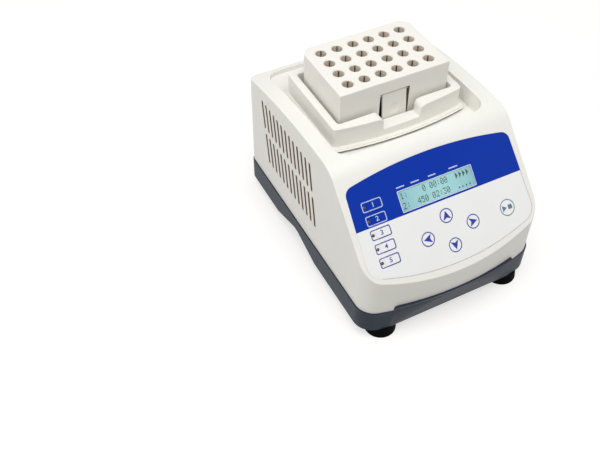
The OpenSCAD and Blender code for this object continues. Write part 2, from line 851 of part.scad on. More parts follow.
// Slanted slots through both side walls
module side_vents() {
    cut = side_lean + wall + over;
    rows = [[vent_low, vent_low_h], [vent_low + vent_low_h + vent_band, vent_high_h]];
    for (s = [-1, 1], i = [0:vent_count - 1], row = rows) {
        foot = rear_y - vent_back - i * vent_pitch + (row[0] - vent_low) * tan(vent_slant);
        translate([s * half_w, foot, row[0]]) rotate([-vent_slant, 0, 0])
            translate([-cut, -vent_slot / 2, 0]) cube([2 * cut, vent_slot, row[1] / cos(vent_slant)]);
    }
}

// The front step drawn through the front wall, grown by a gap
module step_block(grow) {
    reach = bow_r / 8;
    rise = step_h - split_h;
    translate([0, front_y + reach, split_h]) rotate([90, 0, 0]) linear_extrude(2 * reach)
        round_rect(step_w + 2 * grow, 2 * (rise + grow), step_r + grow);
}

// The housing's wall in plan, between two insets
module wall_plan(outer, inner) {
    difference() {
        housing_plan(outer);
        housing_plan(inner);
    }
}

// A recess in the rear wall for the inlet and the switch, grown by a margin
module connect_block(grow, depth) {
    translate([connect_left - grow, rear_y - depth, rear_h - connect_h / 2 - grow])
        cube([connect_right - connect_left + 2 * grow, depth, connect_h + 2 * grow]);
}

// A box about a middle in X and Z, from a rear face forward
module rear_box(x, w, h, y, depth) {
    translate([x - w / 2, y - depth, rear_h - h / 2]) cube([w, depth, h]);
}

module upper_housing() {
    through = rear_recess + wall + over;
    color(ivory) difference() {
        union() {
            difference() {
                housing_body(0, split_h);
                housing_body(wall, split_h - over);
            }
            intersection() {
                housing_body(0, split_h);
                union() {
                    translate([0, 0, pocket_floor - wall]) linear_extrude(pocket_depth + wall)
                        pocket_plan(wall);
                    for (p = boss_places) rod(p, 2 * boss_r, split_h, boss_top);
                    connect_block(wall, rear_recess + wall);
                }
            }
            for (p = chassis_posts) rod(p, post_d, chassis_top, pocket_floor - wall / 2);
            panel_posts();
        }
        translate([0, 0, pocket_floor]) linear_extrude(pocket_depth + over) pocket_plan(0);
        translate([0, tray_y, pocket_floor - wall - over]) linear_extrude(wall + 2 * over)
            round_rect(opening_w, opening_d, pocket_r / 2);
        for (p = chassis_posts) rod(p, screw_hole, chassis_top - over, pocket_floor - wall - screw_end);
        for (p = boss_places) rod(p, screw_hole, split_h - over, boss_top - screw_end);
        intersection() {
            step_block(seam);
            translate([0, 0, split_h - over]) linear_extrude(step_h) wall_plan(-over, wall + over);
        }
        side_vents();
        panel_cuts();
        panel_post_holes();
        connect_block(0, rear_recess);
        rear_box(-inlet_x, inlet_w - 2 * inlet_edge, inlet_h - 2 * inlet_edge, rear_y, through);
        rear_box(switch_x, switch_w - 2 * switch_edge, switch_h - 2 * switch_edge, rear_y, through);
    }
}

// The base's plan, moved in by an inset
module base_plan(inset) {
    back = base_inset + inset;
    bowed_plan(half_w + base_side - inset, rear_y - back, front_y + back, base_bow_r - inset,
        front_corner_r - inset, rear_corner_r - inset);
}

// The room behind the base's leaning front, moved in by an inset
module base_lean(inset) {
    lean = (base_taper - base_inset) / (split_h - base_low);
    high = split_h + over;
    foot = front_y + base_taper + inset - lean_bite;
    across() polygon([[foot, base_low], [rear_y, base_low], [rear_y, high],
        [foot - lean * (high - base_low), high]]);
}

// The base below the parting line as a solid from a height up, moved in by an inset
module base_block(inset, low) {
    intersection() {
        translate([0, 0, low]) linear_extrude(split_h - low) base_plan(inset);
        base_lean(inset);
    }
}

// The base's outside with its front step
module base_body() {
    front_r = base_bow_r - base_inset - lean_bite;
    base_block(0, base_low);
    intersection() {
        step_block(0);
        difference() {
            translate([0, front_y + base_bow_r, split_h])
                cylinder(r1 = front_r, r2 = base_bow_r + step_proud, h = step_h - split_h, $fn = arc_fn);
            translate([0, 0, base_low]) linear_extrude(step_h) housing_plan(wall);
        }
    }
}

// One hand grip in a lower side edge, grown by a margin
module hand_grip(side, grow) {
    translate([side * (half_w + far / 2 - grip_in - grow), grip_y, base_low]) across()
        polygon([[-grip_l / 2 - grow, -over], [grip_l / 2 + grow, -over],
            [grip_top_l / 2 + grow, grip_h + grow], [-grip_top_l / 2 - grow, grip_h + grow]]);
}

// The space inside the base
module base_hollow() {
    difference() {
        base_block(wall, floor_top);
        for (s = [-1, 1]) hand_grip(s, wall);
    }
    translate([0, 0, split_h - press_gap]) linear_extrude(step_h) base_plan(wall);
}

module base_shell() {
    color(grey) difference() {
        union() {
            difference() {
                base_body();
                base_hollow();
            }
            difference() {
                union() {
                    translate([0, 0, split_h - rib_h]) linear_extrude(rib_h) base_plan(wall / 2);
                    translate([0, 0, split_h - rib_h]) linear_extrude(2 * rib_h) housing_plan(wall + seam);
                }
                translate([0, 0, base_low]) linear_extrude(split_h) housing_plan(wall + seam + rib_t);
                for (p = boss_places) rod(p, 2 * (boss_r + seam), split_h, split_h + 2 * rib_h);
            }
            intersection() {
                base_body();
                for (p = boss_places) rod(p, 2 * boss_r, base_low, split_h);
            }
            for (p = foot_places) rod(p, 2 * boss_r, base_low, foot_boss_top);
        }
        for (s = [-1, 1]) hand_grip(s, 0);
        for (p = boss_places) {
            rod(p, screw_hole, base_low - over, split_h + over);
            rod(p, head_pass, base_low - over, base_low + head_deep);
        }
        for (p = foot_places) rod(p, screw_hole, base_low - over, foot_boss_top - screw_end);
        for (p = board_posts) rod(p, small_hole, base_low - over, floor_top + over);
    }
}

// A pan head screw whose head hangs under its seat, at a place between two heights
module screw_up(place, d, seat, end) {
    rod(place, pan_w * d, seat - pan_h * d, seat);
    rod(place, d, seat - pan_h * d, end);
}

// A cap head screw whose head stands on its seat
module screw_down(place, d, seat, end) {
    rod(place, cap_w * d, seat, seat + cap_h * d);
    rod(place, d, end, seat + cap_h * d);
}

module rubber_feet() {
    seat = foot_h / 2;
    color(black) for (p = foot_places) translate(p) rotate_extrude() polygon([
        [head_pass / 2, 0], [foot_d / 2 - foot_taper, 0], [foot_d / 2, foot_taper],
        [foot_d / 2 - foot_taper, foot_h], [screw_hole / 2, foot_h],
        [screw_hole / 2, seat], [head_pass / 2, seat]]);
}

module foot_screws() {
    color(steel) for (p = foot_places) screw_up(p, screw_d, foot_h / 2, foot_boss_top - 2 * screw_end);
}

module housing_screws() {
    color(steel) for (p = boss_places)
        screw_up(p, screw_d, base_low + head_deep, boss_top - 2 * screw_end);
}

module panel_overlay() {
    color(blue) on_panel() difference() {
        layer(-overlay_t, 0) overlay_plan(0);
        layer(-overlay_t - over, over) window_plan(seam);
        for (i = [0:len(key_centres) - 1])
            layer(-overlay_t - over, over) translate(key_centres[i]) key_plan(i, 0);
        for (v = preset_rows) rod([lamp_u, v], lamp_d + 2 * key_gap, -overlay_t - over, over);
    }
}

module display_window() {
    flange_high = panel_in - window_glue;
    color(clear, 0.5) on_panel() {
        layer(flange_high - window_flange / 2, 0) window_plan(0);
        layer(flange_high - window_flange, flange_high) window_plan(window_edge);
    }
}

module lcd_module() {
    board_base = lcd_board_top - board_t;
    color(teal) on_panel() difference() {
        union() {
            translate([0, display_v, board_base]) linear_extrude(lcd_top - board_base)
                square([display_w + 2 * lcd_bezel_edge, display_l + 2 * lcd_bezel_side], center = true);
            translate([0, display_v, board_base]) linear_extrude(board_t)
                square([lcd_w, lcd_l], center = true);
        }
        for (p = lcd_posts) rod(p, small_pass, board_base - over, lcd_board_top + over);
    }
}

module keypad_board() {
    color(green) on_panel() difference() {
        layer(keypad_top - board_t, keypad_top) polygon([
            [keypad_left, keypad_low], [keypad_right, keypad_low], [keypad_right, keypad_step],
            [keypad_column, keypad_step], [keypad_column, keypad_high], [keypad_left, keypad_high]]);
        for (p = keypad_posts) rod(p, small_pass, keypad_top - board_t - over, keypad_top + over);
    }
}

module tact_switches() {
    color(black) on_panel() for (p = key_centres) {
        layer(keypad_top, keypad_top + switch_body_h) translate(p) square(switch_size, center = true);
        rod(p, plunger_d, keypad_top, plunger_top);
    }
}

module indicator_leds() {
    color(amber) on_panel() for (v = preset_rows) rod([lamp_u, v], lamp_d, keypad_top, -overlay_t / 2);
}

module panel_screws() {
    end = panel_in - 2 * screw_gap;
    color(steel) on_panel() {
        for (p = keypad_posts) screw_up(p, small_screw_d, keypad_top - board_t, end);
        for (p = lcd_posts) screw_up(p, small_screw_d, lcd_board_top - board_t, end);
    }
}

// One key: its face in the overlay and the stem that reaches its switch
module key(i) {
    color(ivory) on_panel() {
        layer(-overlay_t, 0) translate(key_centres[i]) key_plan(i, key_gap);
        rod(key_centres[i], stem_d, stem_low, -overlay_t / 2);
    }
}

module key_up() { key(0); }
module key_down() { key(1); }
module key_left() { key(2); }
module key_right() { key(3); }
module key_start() { key(4); }
module key_preset_1() { key(5); }
module key_preset_2() { key(6); }
module key_preset_3() { key(7); }
module key_preset_4() { key(8); }
module key_preset_5() { key(9); }

// A circuit board with holes over its posts
module board(w, d, y, posts) {
    difference() {
        translate([-w / 2, y - d / 2, board_low]) cube([w, d, board_t]);
        for (p = posts) rod(p, small_pass, board_low - over, board_low + board_t + over);
    }
}

// A part that stands on a board, at a place in plan
module board_part(place, size) {
    translate([place[0] - size[0] / 2, place[1] - size[1] / 2, part_low]) cube(size);
}

module control_board() {
    plug_x = control_w / 2 - 2 * boss_in - plug_row[0];
    color(green) union() {
        board(control_w, control_d, control_y, control_posts);
        board_part([-control_w / 6, control_y + control_d / 10], processor);
        board_part([control_w / 7, control_y + control_d / 7], driver);
        for (s = [-1, 1]) board_part([s * plug_x, control_y - plug_row[1] / 3], plug_row);
        for (i = [0:2])
            rod([(i + 0.5) * small_cap_pitch, control_y - control_d / 4], small_cap_d,
                part_low, part_low + small_cap_h);
    }
}

module power_supply_board() {
    side_x = supply_w / 4;
    color(green) union() {
        board(supply_w, supply_d, supply_y, supply_posts);
        board_part([0, supply_y + boss_in], transformer);
        board_part([side_x, supply_y - supply_d / 4], choke);
        board_part([side_x + boss_in, supply_y + supply_d / 5], heat_sink);
        for (t = [-1, 1])
            rod([-side_x - boss_in, supply_y + t * supply_d / 6], large_cap_d,
                part_low, part_low + large_cap_h);
    }
}

module board_standoffs() {
    color(brass) for (p = board_posts) difference() {
        translate([p[0], p[1], floor_top]) cylinder(d = standoff_d, h = standoff_h, $fn = 6);
        rod(p, small_hole, floor_top - over, board_low + over);
    }
}

module board_screws() {
    color(steel) for (p = board_posts) {
        screw_down(p, small_screw_d, board_low + board_t, board_low - board_bite);
        rod(p, small_screw_d, base_low, floor_top + board_bite);
    }
}

module power_inlet() {
    edge = inlet_edge + seam;
    flange_t = rear_recess - 2 * seam;
    inside = [inlet_w - 2 * edge - 2 * inlet_shell, inlet_h - 2 * edge - 2 * inlet_shell];
    blade_y = connect_y - inlet_depth + inlet_shell / 2;
    color(black) union() {
        difference() {
            union() {
                rear_box(-inlet_x, inlet_w, inlet_h, connect_y + flange_t, flange_t);
                rear_box(-inlet_x, inlet_w - 2 * edge, inlet_h - 2 * edge, connect_y, inlet_depth);
            }
            rear_box(-inlet_x, inside[0], inside[1], rear_y + over,
                inlet_depth - inlet_shell + rear_recess + over);
        }
        for (p = [[-1, -1], [1, -1], [0, 1]])
            translate([-inlet_x + p[0] * inside[0] / 4 - inlet_blade[0] / 2, blade_y,
                rear_h + p[1] * inside[1] / 5 - inlet_blade[2] / 2]) cube(inlet_blade);
    }
}

// A pin through the rocker's pivot, from side to side
module rocker_pin(d, length) {
    translate(rocker_axis - [length / 2, 0, 0]) rotate([0, 90, 0]) cylinder(d = d, h = length);
}

module power_switch_body() {
    edge = switch_edge + seam;
    color(black) difference() {
        union() {
            rear_box(switch_x, switch_w, switch_h, connect_y + switch_shell, switch_shell);
            rear_box(switch_x, switch_w - 2 * edge, switch_h - 2 * edge, connect_y, switch_depth);
        }
        rear_box(switch_x, rocker_w + 2 * rocker_gap, switch_h - 2 * edge - 2 * switch_shell,
            rear_y + over, switch_depth - switch_shell + rear_recess);
        rocker_pin(rocker_pin_d + 2 * pin_gap, rocker_pin_l + 2 * pin_gap);
    }
}

module power_rocker() {
    tip = rocker_h / 2 * cos(rocker_swing / 2);
    drop = rocker_h / 2 * sin(rocker_swing / 2);
    color(red) union() {
        translate(rocker_axis) rotate([-rocker_swing / 2, 0, 0]) rotate([90, 0, 90])
            translate([0, 0, -rocker_w / 2]) linear_extrude(rocker_w)
                polygon([[rocker_face - drop, tip], [rocker_face - 2 * drop, 0],
                    [rocker_face - drop, -tip], [-rocker_back, -tip / 2], [-rocker_back, tip / 2]]);
        rocker_pin(rocker_pin_d, rocker_pin_l);
    }
}

module chassis_plate() {
    low = chassis_low - over;
    high = chassis_top + over;
    color(steel) difference() {
        translate([0, tray_y, chassis_low]) linear_extrude(chassis_t)
            round_rect(chassis_w, chassis_d, post_d / 2);
        rod(drive_axis, hub_d + 2 * drive_gap, low, high);
        for (p = idler_axes) rod(p, bush_d, low, high);
        for (p = concat(chassis_posts, motor_holes)) rod(p, screw_pass, low, high);
    }
}

module chassis_screws() {
    color(steel) for (p = chassis_posts)
        screw_up(p, screw_d, chassis_low, pocket_floor - wall - 2 * screw_end);
}

module motor() {
    color(dark_steel) difference() {
        union() {
            rod(drive_axis, motor_d, chassis_low - motor_l, chassis_low);
            rod(drive_axis, hub_d, chassis_low - over, chassis_low + motor_boss);
        }
        rod(drive_axis, shaft_hole, chassis_low - shaft_in - drive_gap, chassis_top + over);
        for (p = motor_holes)
            rod(p, screw_hole, chassis_low - motor_bite - screw_end, chassis_low + over);
    }
}

module motor_screws() {
    color(steel) for (p = motor_holes) screw_down(p, screw_d, chassis_top, chassis_low - motor_bite);
}

module motor_shaft() {
    color(steel) rod(drive_axis, shaft_d, chassis_low - shaft_in, shaft_top);
}

module idler_bushes() {
    color(brass) for (p = idler_axes) difference() {
        union() {
            rod(p, bush_d, bush_low, chassis_top);
            rod(p, bush_d + 2 * bush_wall, chassis_top, bush_top);
        }
        rod(p, pin_hole, bush_low - over, bush_top + over);
    }
}

// A set screw or its hole along Y in the crank's hub, from the front to a distance from the axis
module set_rod(d, front, inner) {
    translate([0, axis_y - inner, set_h]) rotate([90, 0, 0]) cylinder(d = d, h = front - inner);
}

module drive_crank() {
    hub_low = crank_top - hub_h;
    color(steel) difference() {
        union() {
            rod(drive_axis, hub_d, hub_low, crank_top);
            rod(drive_pin, pin_d, crank_top - over, pin_top);
        }
        rod(drive_axis, shaft_hole, hub_low - over, shaft_top + screw_end / 2);
        set_rod(screw_hole, hub_d, 0);
    }
}

module crank_set_screw() {
    color(black) set_rod(screw_d, hub_d / 2 - screw_end, shaft_d / 2 + screw_gap);
}

module counterweight() {
    low = weight_top - weight_t;
    reach = weight_r + over;
    color(brass) difference() {
        rod(drive_axis, 2 * weight_r, low, weight_top);
        rod(drive_axis, hub_d, low - over, weight_top + over);
        translate([-reach, axis_y - reach, low - over]) cube([2 * reach, reach, weight_t + 2 * over]);
    }
}

// One idler crank: its journal in the chassis, its disc and its pin in the platform
module idler_crank(i) {
    color(steel) union() {
        rod(idler_axes[i], pin_d, bush_low, crank_top - over);
        rod(idler_axes[i], idler_d, crank_top - crank_t, crank_top);
        rod(idler_pins[i], pin_d, crank_top - over, pin_top);
    }
}

module idler_crank_1() { idler_crank(0); }
module idler_crank_2() { idler_crank(1); }
module idler_crank_3() { idler_crank(2); }
module idler_crank_4() { idler_crank(3); }

// A ball bearing, drawn as one ring
module bearing(place) {
    difference() {
        rod(place, bearing_d, bearing_top - bearing_t, bearing_top);
        rod(place, pin_hole, cup_low, pin_top);
    }
}

module drive_bearing() {
    color(steel) bearing(drive_pin);
}

module idler_bearings() {
    color(steel) for (p = idler_pins) bearing(p);
}

module platform_plate() {
    color(zinc) difference() {
        union() {
            translate([0, tray_y, platform_low]) linear_extrude(platform_t)
                round_rect(platform_w, platform_d, cup_r);
            for (p = platform_pins) rod(p, 2 * cup_r, cup_low, platform_low + over);
        }
        for (p = platform_pins) {
            rod(p, bearing_d, cup_low - over, bearing_top);
            rod(p, bearing_d - cup_t, cup_low, pin_top + drive_gap);
        }
        for (p = tray_holes) rod(p, screw_hole, platform_low - over, tray_low + over);
    }
}

// The tray's flange in plan, moved in by an inset
module flange_plan(inset) {
    bowed_plan(flange_w / 2 - inset, tray_rear + flange_back - inset,
        tray_front - flange_front + inset, flange_bow_r - inset,
        flange_r - inset, flange_r - inset);
}

// The tray's walls in plan, with the flange's bow in front
module tray_plan() {
    bowed_plan(tray_w / 2, tray_rear, tray_front, flange_bow_r - flange_front, tray_r, tray_r);
}

// The finger notch seen from the front, down from the rim to its sill
module notch_face() {
    translate([-notch_w / 2, notch_low]) square([notch_w, notch_deep + over]);
    for (s = [-1, 1]) difference() {
        translate([s * (notch_w / 2 + notch_r / 2), tray_rim - notch_r / 2 + over / 2])
            square([notch_r, notch_r + over], center = true);
        translate([s * (notch_w / 2 + notch_r), tray_rim - notch_r]) circle(notch_r);
    }
}

module shaker_tray() {
    groove_w = lug_l + 2 * lug_clear;
    groove_deep = lug_t + lug_clear - block_clear;
    color(ivory) difference() {
        union() {
            translate([0, 0, flange_low]) linear_extrude(flange_step) flange_plan(0);
            translate([0, 0, flange_low]) linear_extrude(2 * flange_step) flange_plan(flange_ledge);
            translate([0, 0, tray_low]) linear_extrude(tray_rim - tray_low) tray_plan();
        }
        translate([0, tray_y, flange_low - over]) linear_extrude(tray_low - flange_low + over)
            round_rect(tray_in_w, tray_in_d, tray_r);
        translate([0, tray_y, tray_floor]) linear_extrude(tray_rim - tray_floor + over)
            round_rect(tray_in_w, tray_in_d, tray_in_r);
        translate([0, tray_front_in + over, 0]) rotate([90, 0, 0])
            linear_extrude(tray_front_t + 2 * over) notch_face();
        for (x = lug_xs) translate([x - groove_w / 2, tray_rear_in - over, tray_floor])
            cube([groove_w, groove_deep + over, tray_rim]);
        translate([-latch_w / 2 - nose_clear, nose_y - nose_clear, nose_low - nose_clear])
            cube([latch_w + 2 * nose_clear, tray_front_in - nose_y + nose_clear + over,
                nose_h + 2 * nose_clear]);
        for (p = tray_holes) {
            rod(p, screw_pass, tray_low - over, tray_floor);
            translate([p[0], p[1], tray_floor - sink_h])
                cylinder(d1 = screw_pass, d2 = sink_d, h = sink_h);
            rod(p, sink_d, tray_floor, tray_floor + over);
        }
    }
}

module tray_screws() {
    color(steel) for (p = tray_holes) {
        translate([p[0], p[1], tray_floor - sink_h])
            cylinder(d1 = screw_d, d2 = sink_d - 4 * screw_gap, h = sink_h);
        rod(p, screw_d, tray_low - tray_bite, tray_floor - sink_h);
    }
}

// The block's plan with chamfered rear corners, moved in by an inset
module block_plan(inset) {
    w = block_w / 2 - inset;
    d = block_d / 2 - inset;
    c = block_chamfer - inset * (2 - sqrt(2));
    translate([0, block_y])
        polygon([[-w, -d], [w, -d], [w, d - c], [w - c, d], [-w + c, d], [-w, d - c]]);
}

// A round bar along the latch's axis
module latch_bar(d, length) {
    translate([-length / 2, 0, 0]) rotate([0, 90, 0]) cylinder(d = d, h = length);
}

// What a tube's well takes out of the block: its bore, its countersink and its socket's slit
module well_cut(place) {
    slit_high = block_high - block_top - over;
    rod(place, well_d, well_low, block_high + over);
    translate([place[0], place[1], block_high - well_chamfer])
        cylinder(d1 = well_d, d2 = well_d + 2 * (well_chamfer + over), h = well_chamfer + over);
    translate([place[0], place[1], well_low + over]) rotate(slit_angle)
        translate([-socket_d / 2 - over / 2, -slit_w / 2, 0])
            cube([socket_d + over, slit_w, slit_high - well_low - over]);
}

module tube_block() {
    color(ivory) difference() {
        union() {
            difference() {
                translate([0, 0, block_low]) linear_extrude(block_h) block_plan(0);
                translate([0, 0, block_low - over]) linear_extrude(block_h - block_top + over)
                    block_plan(block_wall);
            }
            for (p = wells) rod(p, socket_d, well_low - socket_floor, block_high - over);
            translate([-latch_pin_l / 2, block_front, block_low])
                cube([latch_pin_l, latch_in + latch_liner, block_h - latch_down + latch_liner]);
            for (x = lug_xs) translate([x - lug_l / 2, block_y + block_d / 2 - over, block_low])
                cube([lug_l, lug_t + over, lug_t]);
        }
        for (p = wells) well_cut(p);
        translate([-latch_rec_w / 2, block_front - over, block_low - over])
            cube([latch_rec_w, latch_in + over, latch_high - block_low + over]);
        translate(latch_axis) latch_bar(latch_pin_d, latch_pin_l);
    }
}

module block_latch() {
    front = -latch_barrel / 2;
    color(ivory) translate(latch_axis) rotate([-latch_lean, 0, 0]) difference() {
        union() {
            translate([-latch_w / 2, front, -latch_h]) cube([latch_w, latch_t, latch_h]);
            latch_bar(latch_barrel, latch_w);
            translate([-latch_w / 2, -nose_out, -latch_h]) cube([latch_w, latch_nose + over, nose_h]);
        }
        latch_bar(latch_pin_d + 2 * pin_gap, 2 * latch_w);
        translate([0, front - dimple_ball + dimple_depth, -dimple_down]) sphere(dimple_ball);
    }
}

module latch_pin() {
    color(steel) translate(latch_axis) latch_bar(latch_pin_d, latch_pin_l);
}

upper_housing();
base_shell();
rubber_feet();
foot_screws();
housing_screws();
panel_overlay();
display_window();
lcd_module();
keypad_board();
tact_switches();
indicator_leds();
panel_screws();
key_up();
key_down();
key_left();
key_right();
key_start();
key_preset_1();
key_preset_2();
key_preset_3();
key_preset_4();
key_preset_5();
control_board();
power_supply_board();
board_standoffs();
board_screws();
power_inlet();
power_switch_body();
power_rocker();
chassis_plate();
chassis_screws();
motor();
motor_screws();
motor_shaft();
idler_bushes();
drive_crank();
crank_set_screw();
counterweight();
idler_crank_1();
idler_crank_2();
idler_crank_3();
idler_crank_4();
drive_bearing();
idler_bearings();
platform_plate();
shaker_tray();
tray_screws();
tube_block();
block_latch();
latch_pin();
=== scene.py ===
import math

import bmesh
import bpy
from mathutils import Matrix, Vector


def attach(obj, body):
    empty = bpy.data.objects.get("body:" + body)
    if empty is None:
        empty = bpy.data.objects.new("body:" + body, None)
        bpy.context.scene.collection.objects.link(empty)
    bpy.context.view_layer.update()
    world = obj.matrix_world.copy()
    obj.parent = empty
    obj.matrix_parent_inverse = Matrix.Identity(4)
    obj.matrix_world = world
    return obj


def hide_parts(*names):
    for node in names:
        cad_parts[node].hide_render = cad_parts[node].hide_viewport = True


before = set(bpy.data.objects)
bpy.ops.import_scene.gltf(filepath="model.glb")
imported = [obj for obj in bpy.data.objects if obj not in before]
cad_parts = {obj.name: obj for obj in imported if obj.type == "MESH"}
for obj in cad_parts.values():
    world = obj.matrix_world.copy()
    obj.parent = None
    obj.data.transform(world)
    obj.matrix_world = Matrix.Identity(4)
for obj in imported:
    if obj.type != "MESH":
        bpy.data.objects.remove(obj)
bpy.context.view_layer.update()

mm = 0.001

# Cutters: how far one stands past its cut, and half the length of one that goes right through
past = 5 * mm
through = 150 * mm

# Slack in telling where a face or an edge lies
hair = 0.1 * mm

# Meshes: how near points are merged, and the angles by which edges count as hard or flat
weld = 0.002 * mm
solid_weld = 0.001 * mm
cut_tolerance = 0.0005 * mm
smooth_angle = math.radians(32)
sharp_angle = math.radians(35)
flat_angle = math.radians(0.3)

# Housing
half_w = 99.5 * mm
rear_y = 136.5 * mm
front_y = -134.5 * mm
split_h = 39 * mm
deck_h = 165.5 * mm
deck_r = 670 * mm
deck_mid = (-11 * mm, deck_h - deck_r)
crown_r = 30 * mm
side_lean = 1 * mm
bow_r = 330 * mm
front_corner_r = 20 * mm
rear_corner_r = 9 * mm
wall = 3 * mm
rim_r = 5 * mm
rim_thinning = 0.45
seam = 0.25 * mm
rear_edge_r = 0.3 * mm

# Base
base_low = 13 * mm
base_inset = 0.8 * mm
base_half = 100.9 * mm
base_bow = 400 * mm
base_foot = front_y + 7.45 * mm
base_edge_r = 1.2 * mm
lean_run = 6.7 * mm
lean_rise = 26 * mm
step_half = 69.5 * mm
step_side = step_half + 2 * mm
step_low = split_h - 0.8 * mm
step_h = 45.5 * mm
step_proud = 2 * mm
step_bite = 0.05 * mm
step_back = front_y + 30 * mm
step_cut = (-step_back - past, -front_y + 2 * past)
step_r = 4 * mm
grip_y = 21.5 * mm
grip_half = 50 * mm
grip_top_half = 4 * mm
grip_under = 2 * mm
grip_h = 12 * mm
grip_in = 16 * mm
boss_places = [(s * 94.5 * mm, y * mm) for s in (-1, 1) for y in (-87.5, 113.5)]
boss_r = 4.9 * mm
screw_well_r = 4 * mm
screw_well_deep = 8 * mm
foot_places = [(s * 74 * mm, y * mm) for s in (-1, 1) for y in (-113, 115)]
foot_r = 16.5 * mm
foot_taper = 0.9
foot_bore_r = 4 * mm
foot_bore = 6.5 * mm
foot_edge_r = 1.4 * mm

# Vents
vent_rows = [(67.3 * mm, 36 * mm), (110 * mm, 32.5 * mm)]
vent_count = 13
vent_pitch = 8.78 * mm
vent_slot = 3.6 * mm
vent_slant = math.radians(11.5)
vent_foot_y = 86.5 * mm
vent_ys = (-30 * mm, 112 * mm)
vent_zs = (64 * mm, 147 * mm)

# Control panel, in its own frame: u across, v up the slope and w out of it
slope = math.radians(45)
lip_h = 72 * mm
panel = Matrix.Translation((0, -85.993 * mm, 120.507 * mm)) @ Matrix.Rotation(slope, 4, "X")
film = 0.5 * mm
film_gap = 0.06 * mm
overlay_top = 49.5 * mm
overlay_low = 61.4 * mm
overlay_top_half = 90.5 * mm
overlay_low_half = 95 * mm
overlay_bows = {-1: 270 * mm, 1: 450 * mm}
overlay_corners = {-1: 16 * mm, 1: 9 * mm}
window_half = (41 * mm, 10 * mm)
window_v = 12.5 * mm
window_r = 0.6 * mm
arrow_keys = {
    "up": (0, -14.9 * mm, 0), "down": (0, -44.5 * mm, 180),
    "left": (-25.6 * mm, -29.7 * mm, 90), "right": (25.6 * mm, -29.7 * mm, -90),
}
arrow_r = 7.2 * mm
start_at = (66 * mm, -29.7 * mm)
start_r = 8.4 * mm
preset_vs = [(19.7 - 13.6 * i) * mm for i in range(5)]
presets_on_blue = 2
preset_left = -80.1 * mm
preset_size = (21.6 * mm, 10.2 * mm)
pad_size = (16.2 * mm, 10.2 * mm)
pad_u = -66.6 * mm
pad_r = 2 * mm
key_opening = 0.2 * mm
key_gap = 0.12 * mm
key_edge_r = 0.08 * mm
stem_r = 2.5 * mm
stem_w = (-3.3 * mm, -0.4 * mm)
lamp_u = -77.4 * mm
lamp_r = 1.5 * mm
lamp_gap = 0.15 * mm
lamp_l = 4 * mm
lamp_w = -2.1 * mm
lamp_dome_r = 1 * mm

# Display, with its layers under the panel's face
pane_w = (-0.6 * mm, -0.05 * mm)
pane_edge_r = 0.15 * mm
screen_w = (-1.4 * mm, -0.9 * mm)
screen_edge_r = 0.1 * mm
dot_w = (-0.95 * mm, -0.88 * mm)
dot_size = (0.65 * mm, 0.85 * mm)
dot_r = 0.05 * mm
dot_pitch = (0.66 * mm, 0.86 * mm)
dot_left = -38.6 * mm
cell_pitch = 4.05 * mm
display_rows = [("1:    0 00:00  >>>>", 17.4 * mm), ("2:  450 02:30  ....", 7.6 * mm)]
dot_glyphs = {
    "0": "01110 10001 10011 10101 11001 10001 01110", "1": "00100 01100 00100 00100 00100 00100 01110",
    "2": "01110 10001 00001 00010 00100 01000 11111", "3": "11111 00010 00100 00010 00001 10001 01110",
    "4": "00010 00110 01010 10010 11111 00010 00010", "5": "11111 10000 11110 00001 00001 10001 01110",
    ":": "00000 00100 00100 00000 00100 00100 00000", ".": "00000 00000 00000 00000 00000 01100 01100",
    ">": "01000 01100 01110 01111 01110 01100 01000",
}

# Prints on the panel, and a grey edge line that is partly painted shadow: lines by the insets or growths of
# their two sides, marks in millimetres
print_t = 0.03 * mm
print_sunk = 0.1 * mm
edge_line_insets = (0.15 * mm, 0.55 * mm)
edge_line_end = (-85 * mm, -49 * mm, 0)
edge_line_away = (-0.265, 0.964, 0)
window_line_grows = (1.1 * mm, 0.1 * mm)
window_line_rs = (0.9 * mm, 0.6 * mm)
key_line_insets = (0.2 * mm, 1.1 * mm)
preset_line_gap = 0.1 * mm
preset_line_trim = 0.15 * mm
label_marks = [(-36.5, 9.0), (-20.5, 9.5), (-1.5, 8.5), (22.5, 10.0)]
label_v = 26.2 * mm
label_h = 1.2 * mm
label_r = 0.55 * mm
arrow_head = [(0, 4.8), (4.3, -4.1), (0, -2.2), (-4.3, -4.1)]
start_line_insets = (0.25 * mm, 1.05 * mm)
play_mark = [(-5.6, 3.1), (-5.6, -3.1), (-0.6, 0)]
stop_mark = 4.6 * mm
stop_r = 0.4 * mm
stop_u = 3.2 * mm
number_u = pad_u - 1.6 * mm
number_size = 6.6 * mm
number_half_t = 0.05 * mm
number_bold = 0.12 * mm

# Pocket and tray
pocket_floor = 146 * mm
pocket_mid = 48 * mm
pocket_size = (164 * mm, 162 * mm)
pocket_r = 15 * mm
pocket_edge_r = 1.4 * mm
drive_opening = (123 * mm, 79 * mm)
drive_opening_r = 7.5 * mm
tray_y = 47.3 * mm
tray_half = 72.3 * mm
tray_front = -9.2 * mm
tray_rear = 96.8 * mm
tray_in = (128.6 * mm, 86.6 * mm)
tray_in_r = 3 * mm
tray_r = 4.5 * mm
tray_rim = 171.5 * mm
tray_rim_r = 1.1 * mm
tray_floor = 152 * mm
tray_floor_t = 3 * mm
tray_screw_xs = [x * mm for x in (-44, -22, 22, 44)]
tray_screw_r = 2.2 * mm
tray_head_r = 4 * mm
tray_head_deep = 2 * mm
flange_low = 148 * mm
flange_half = 76.9 * mm
flange_reach = 5.8 * mm
flange_back = 7 * mm
flange_bow = 380 * mm
flange_r = 7 * mm
flange_step = 1 * mm
flange_edge_r = 0.25 * mm
flange_ledge = 1.6 * mm
flange_ledge_r = 0.35 * mm
notch_half = 20.5 * mm
notch_low = 158.3 * mm
notch_r = 6 * mm

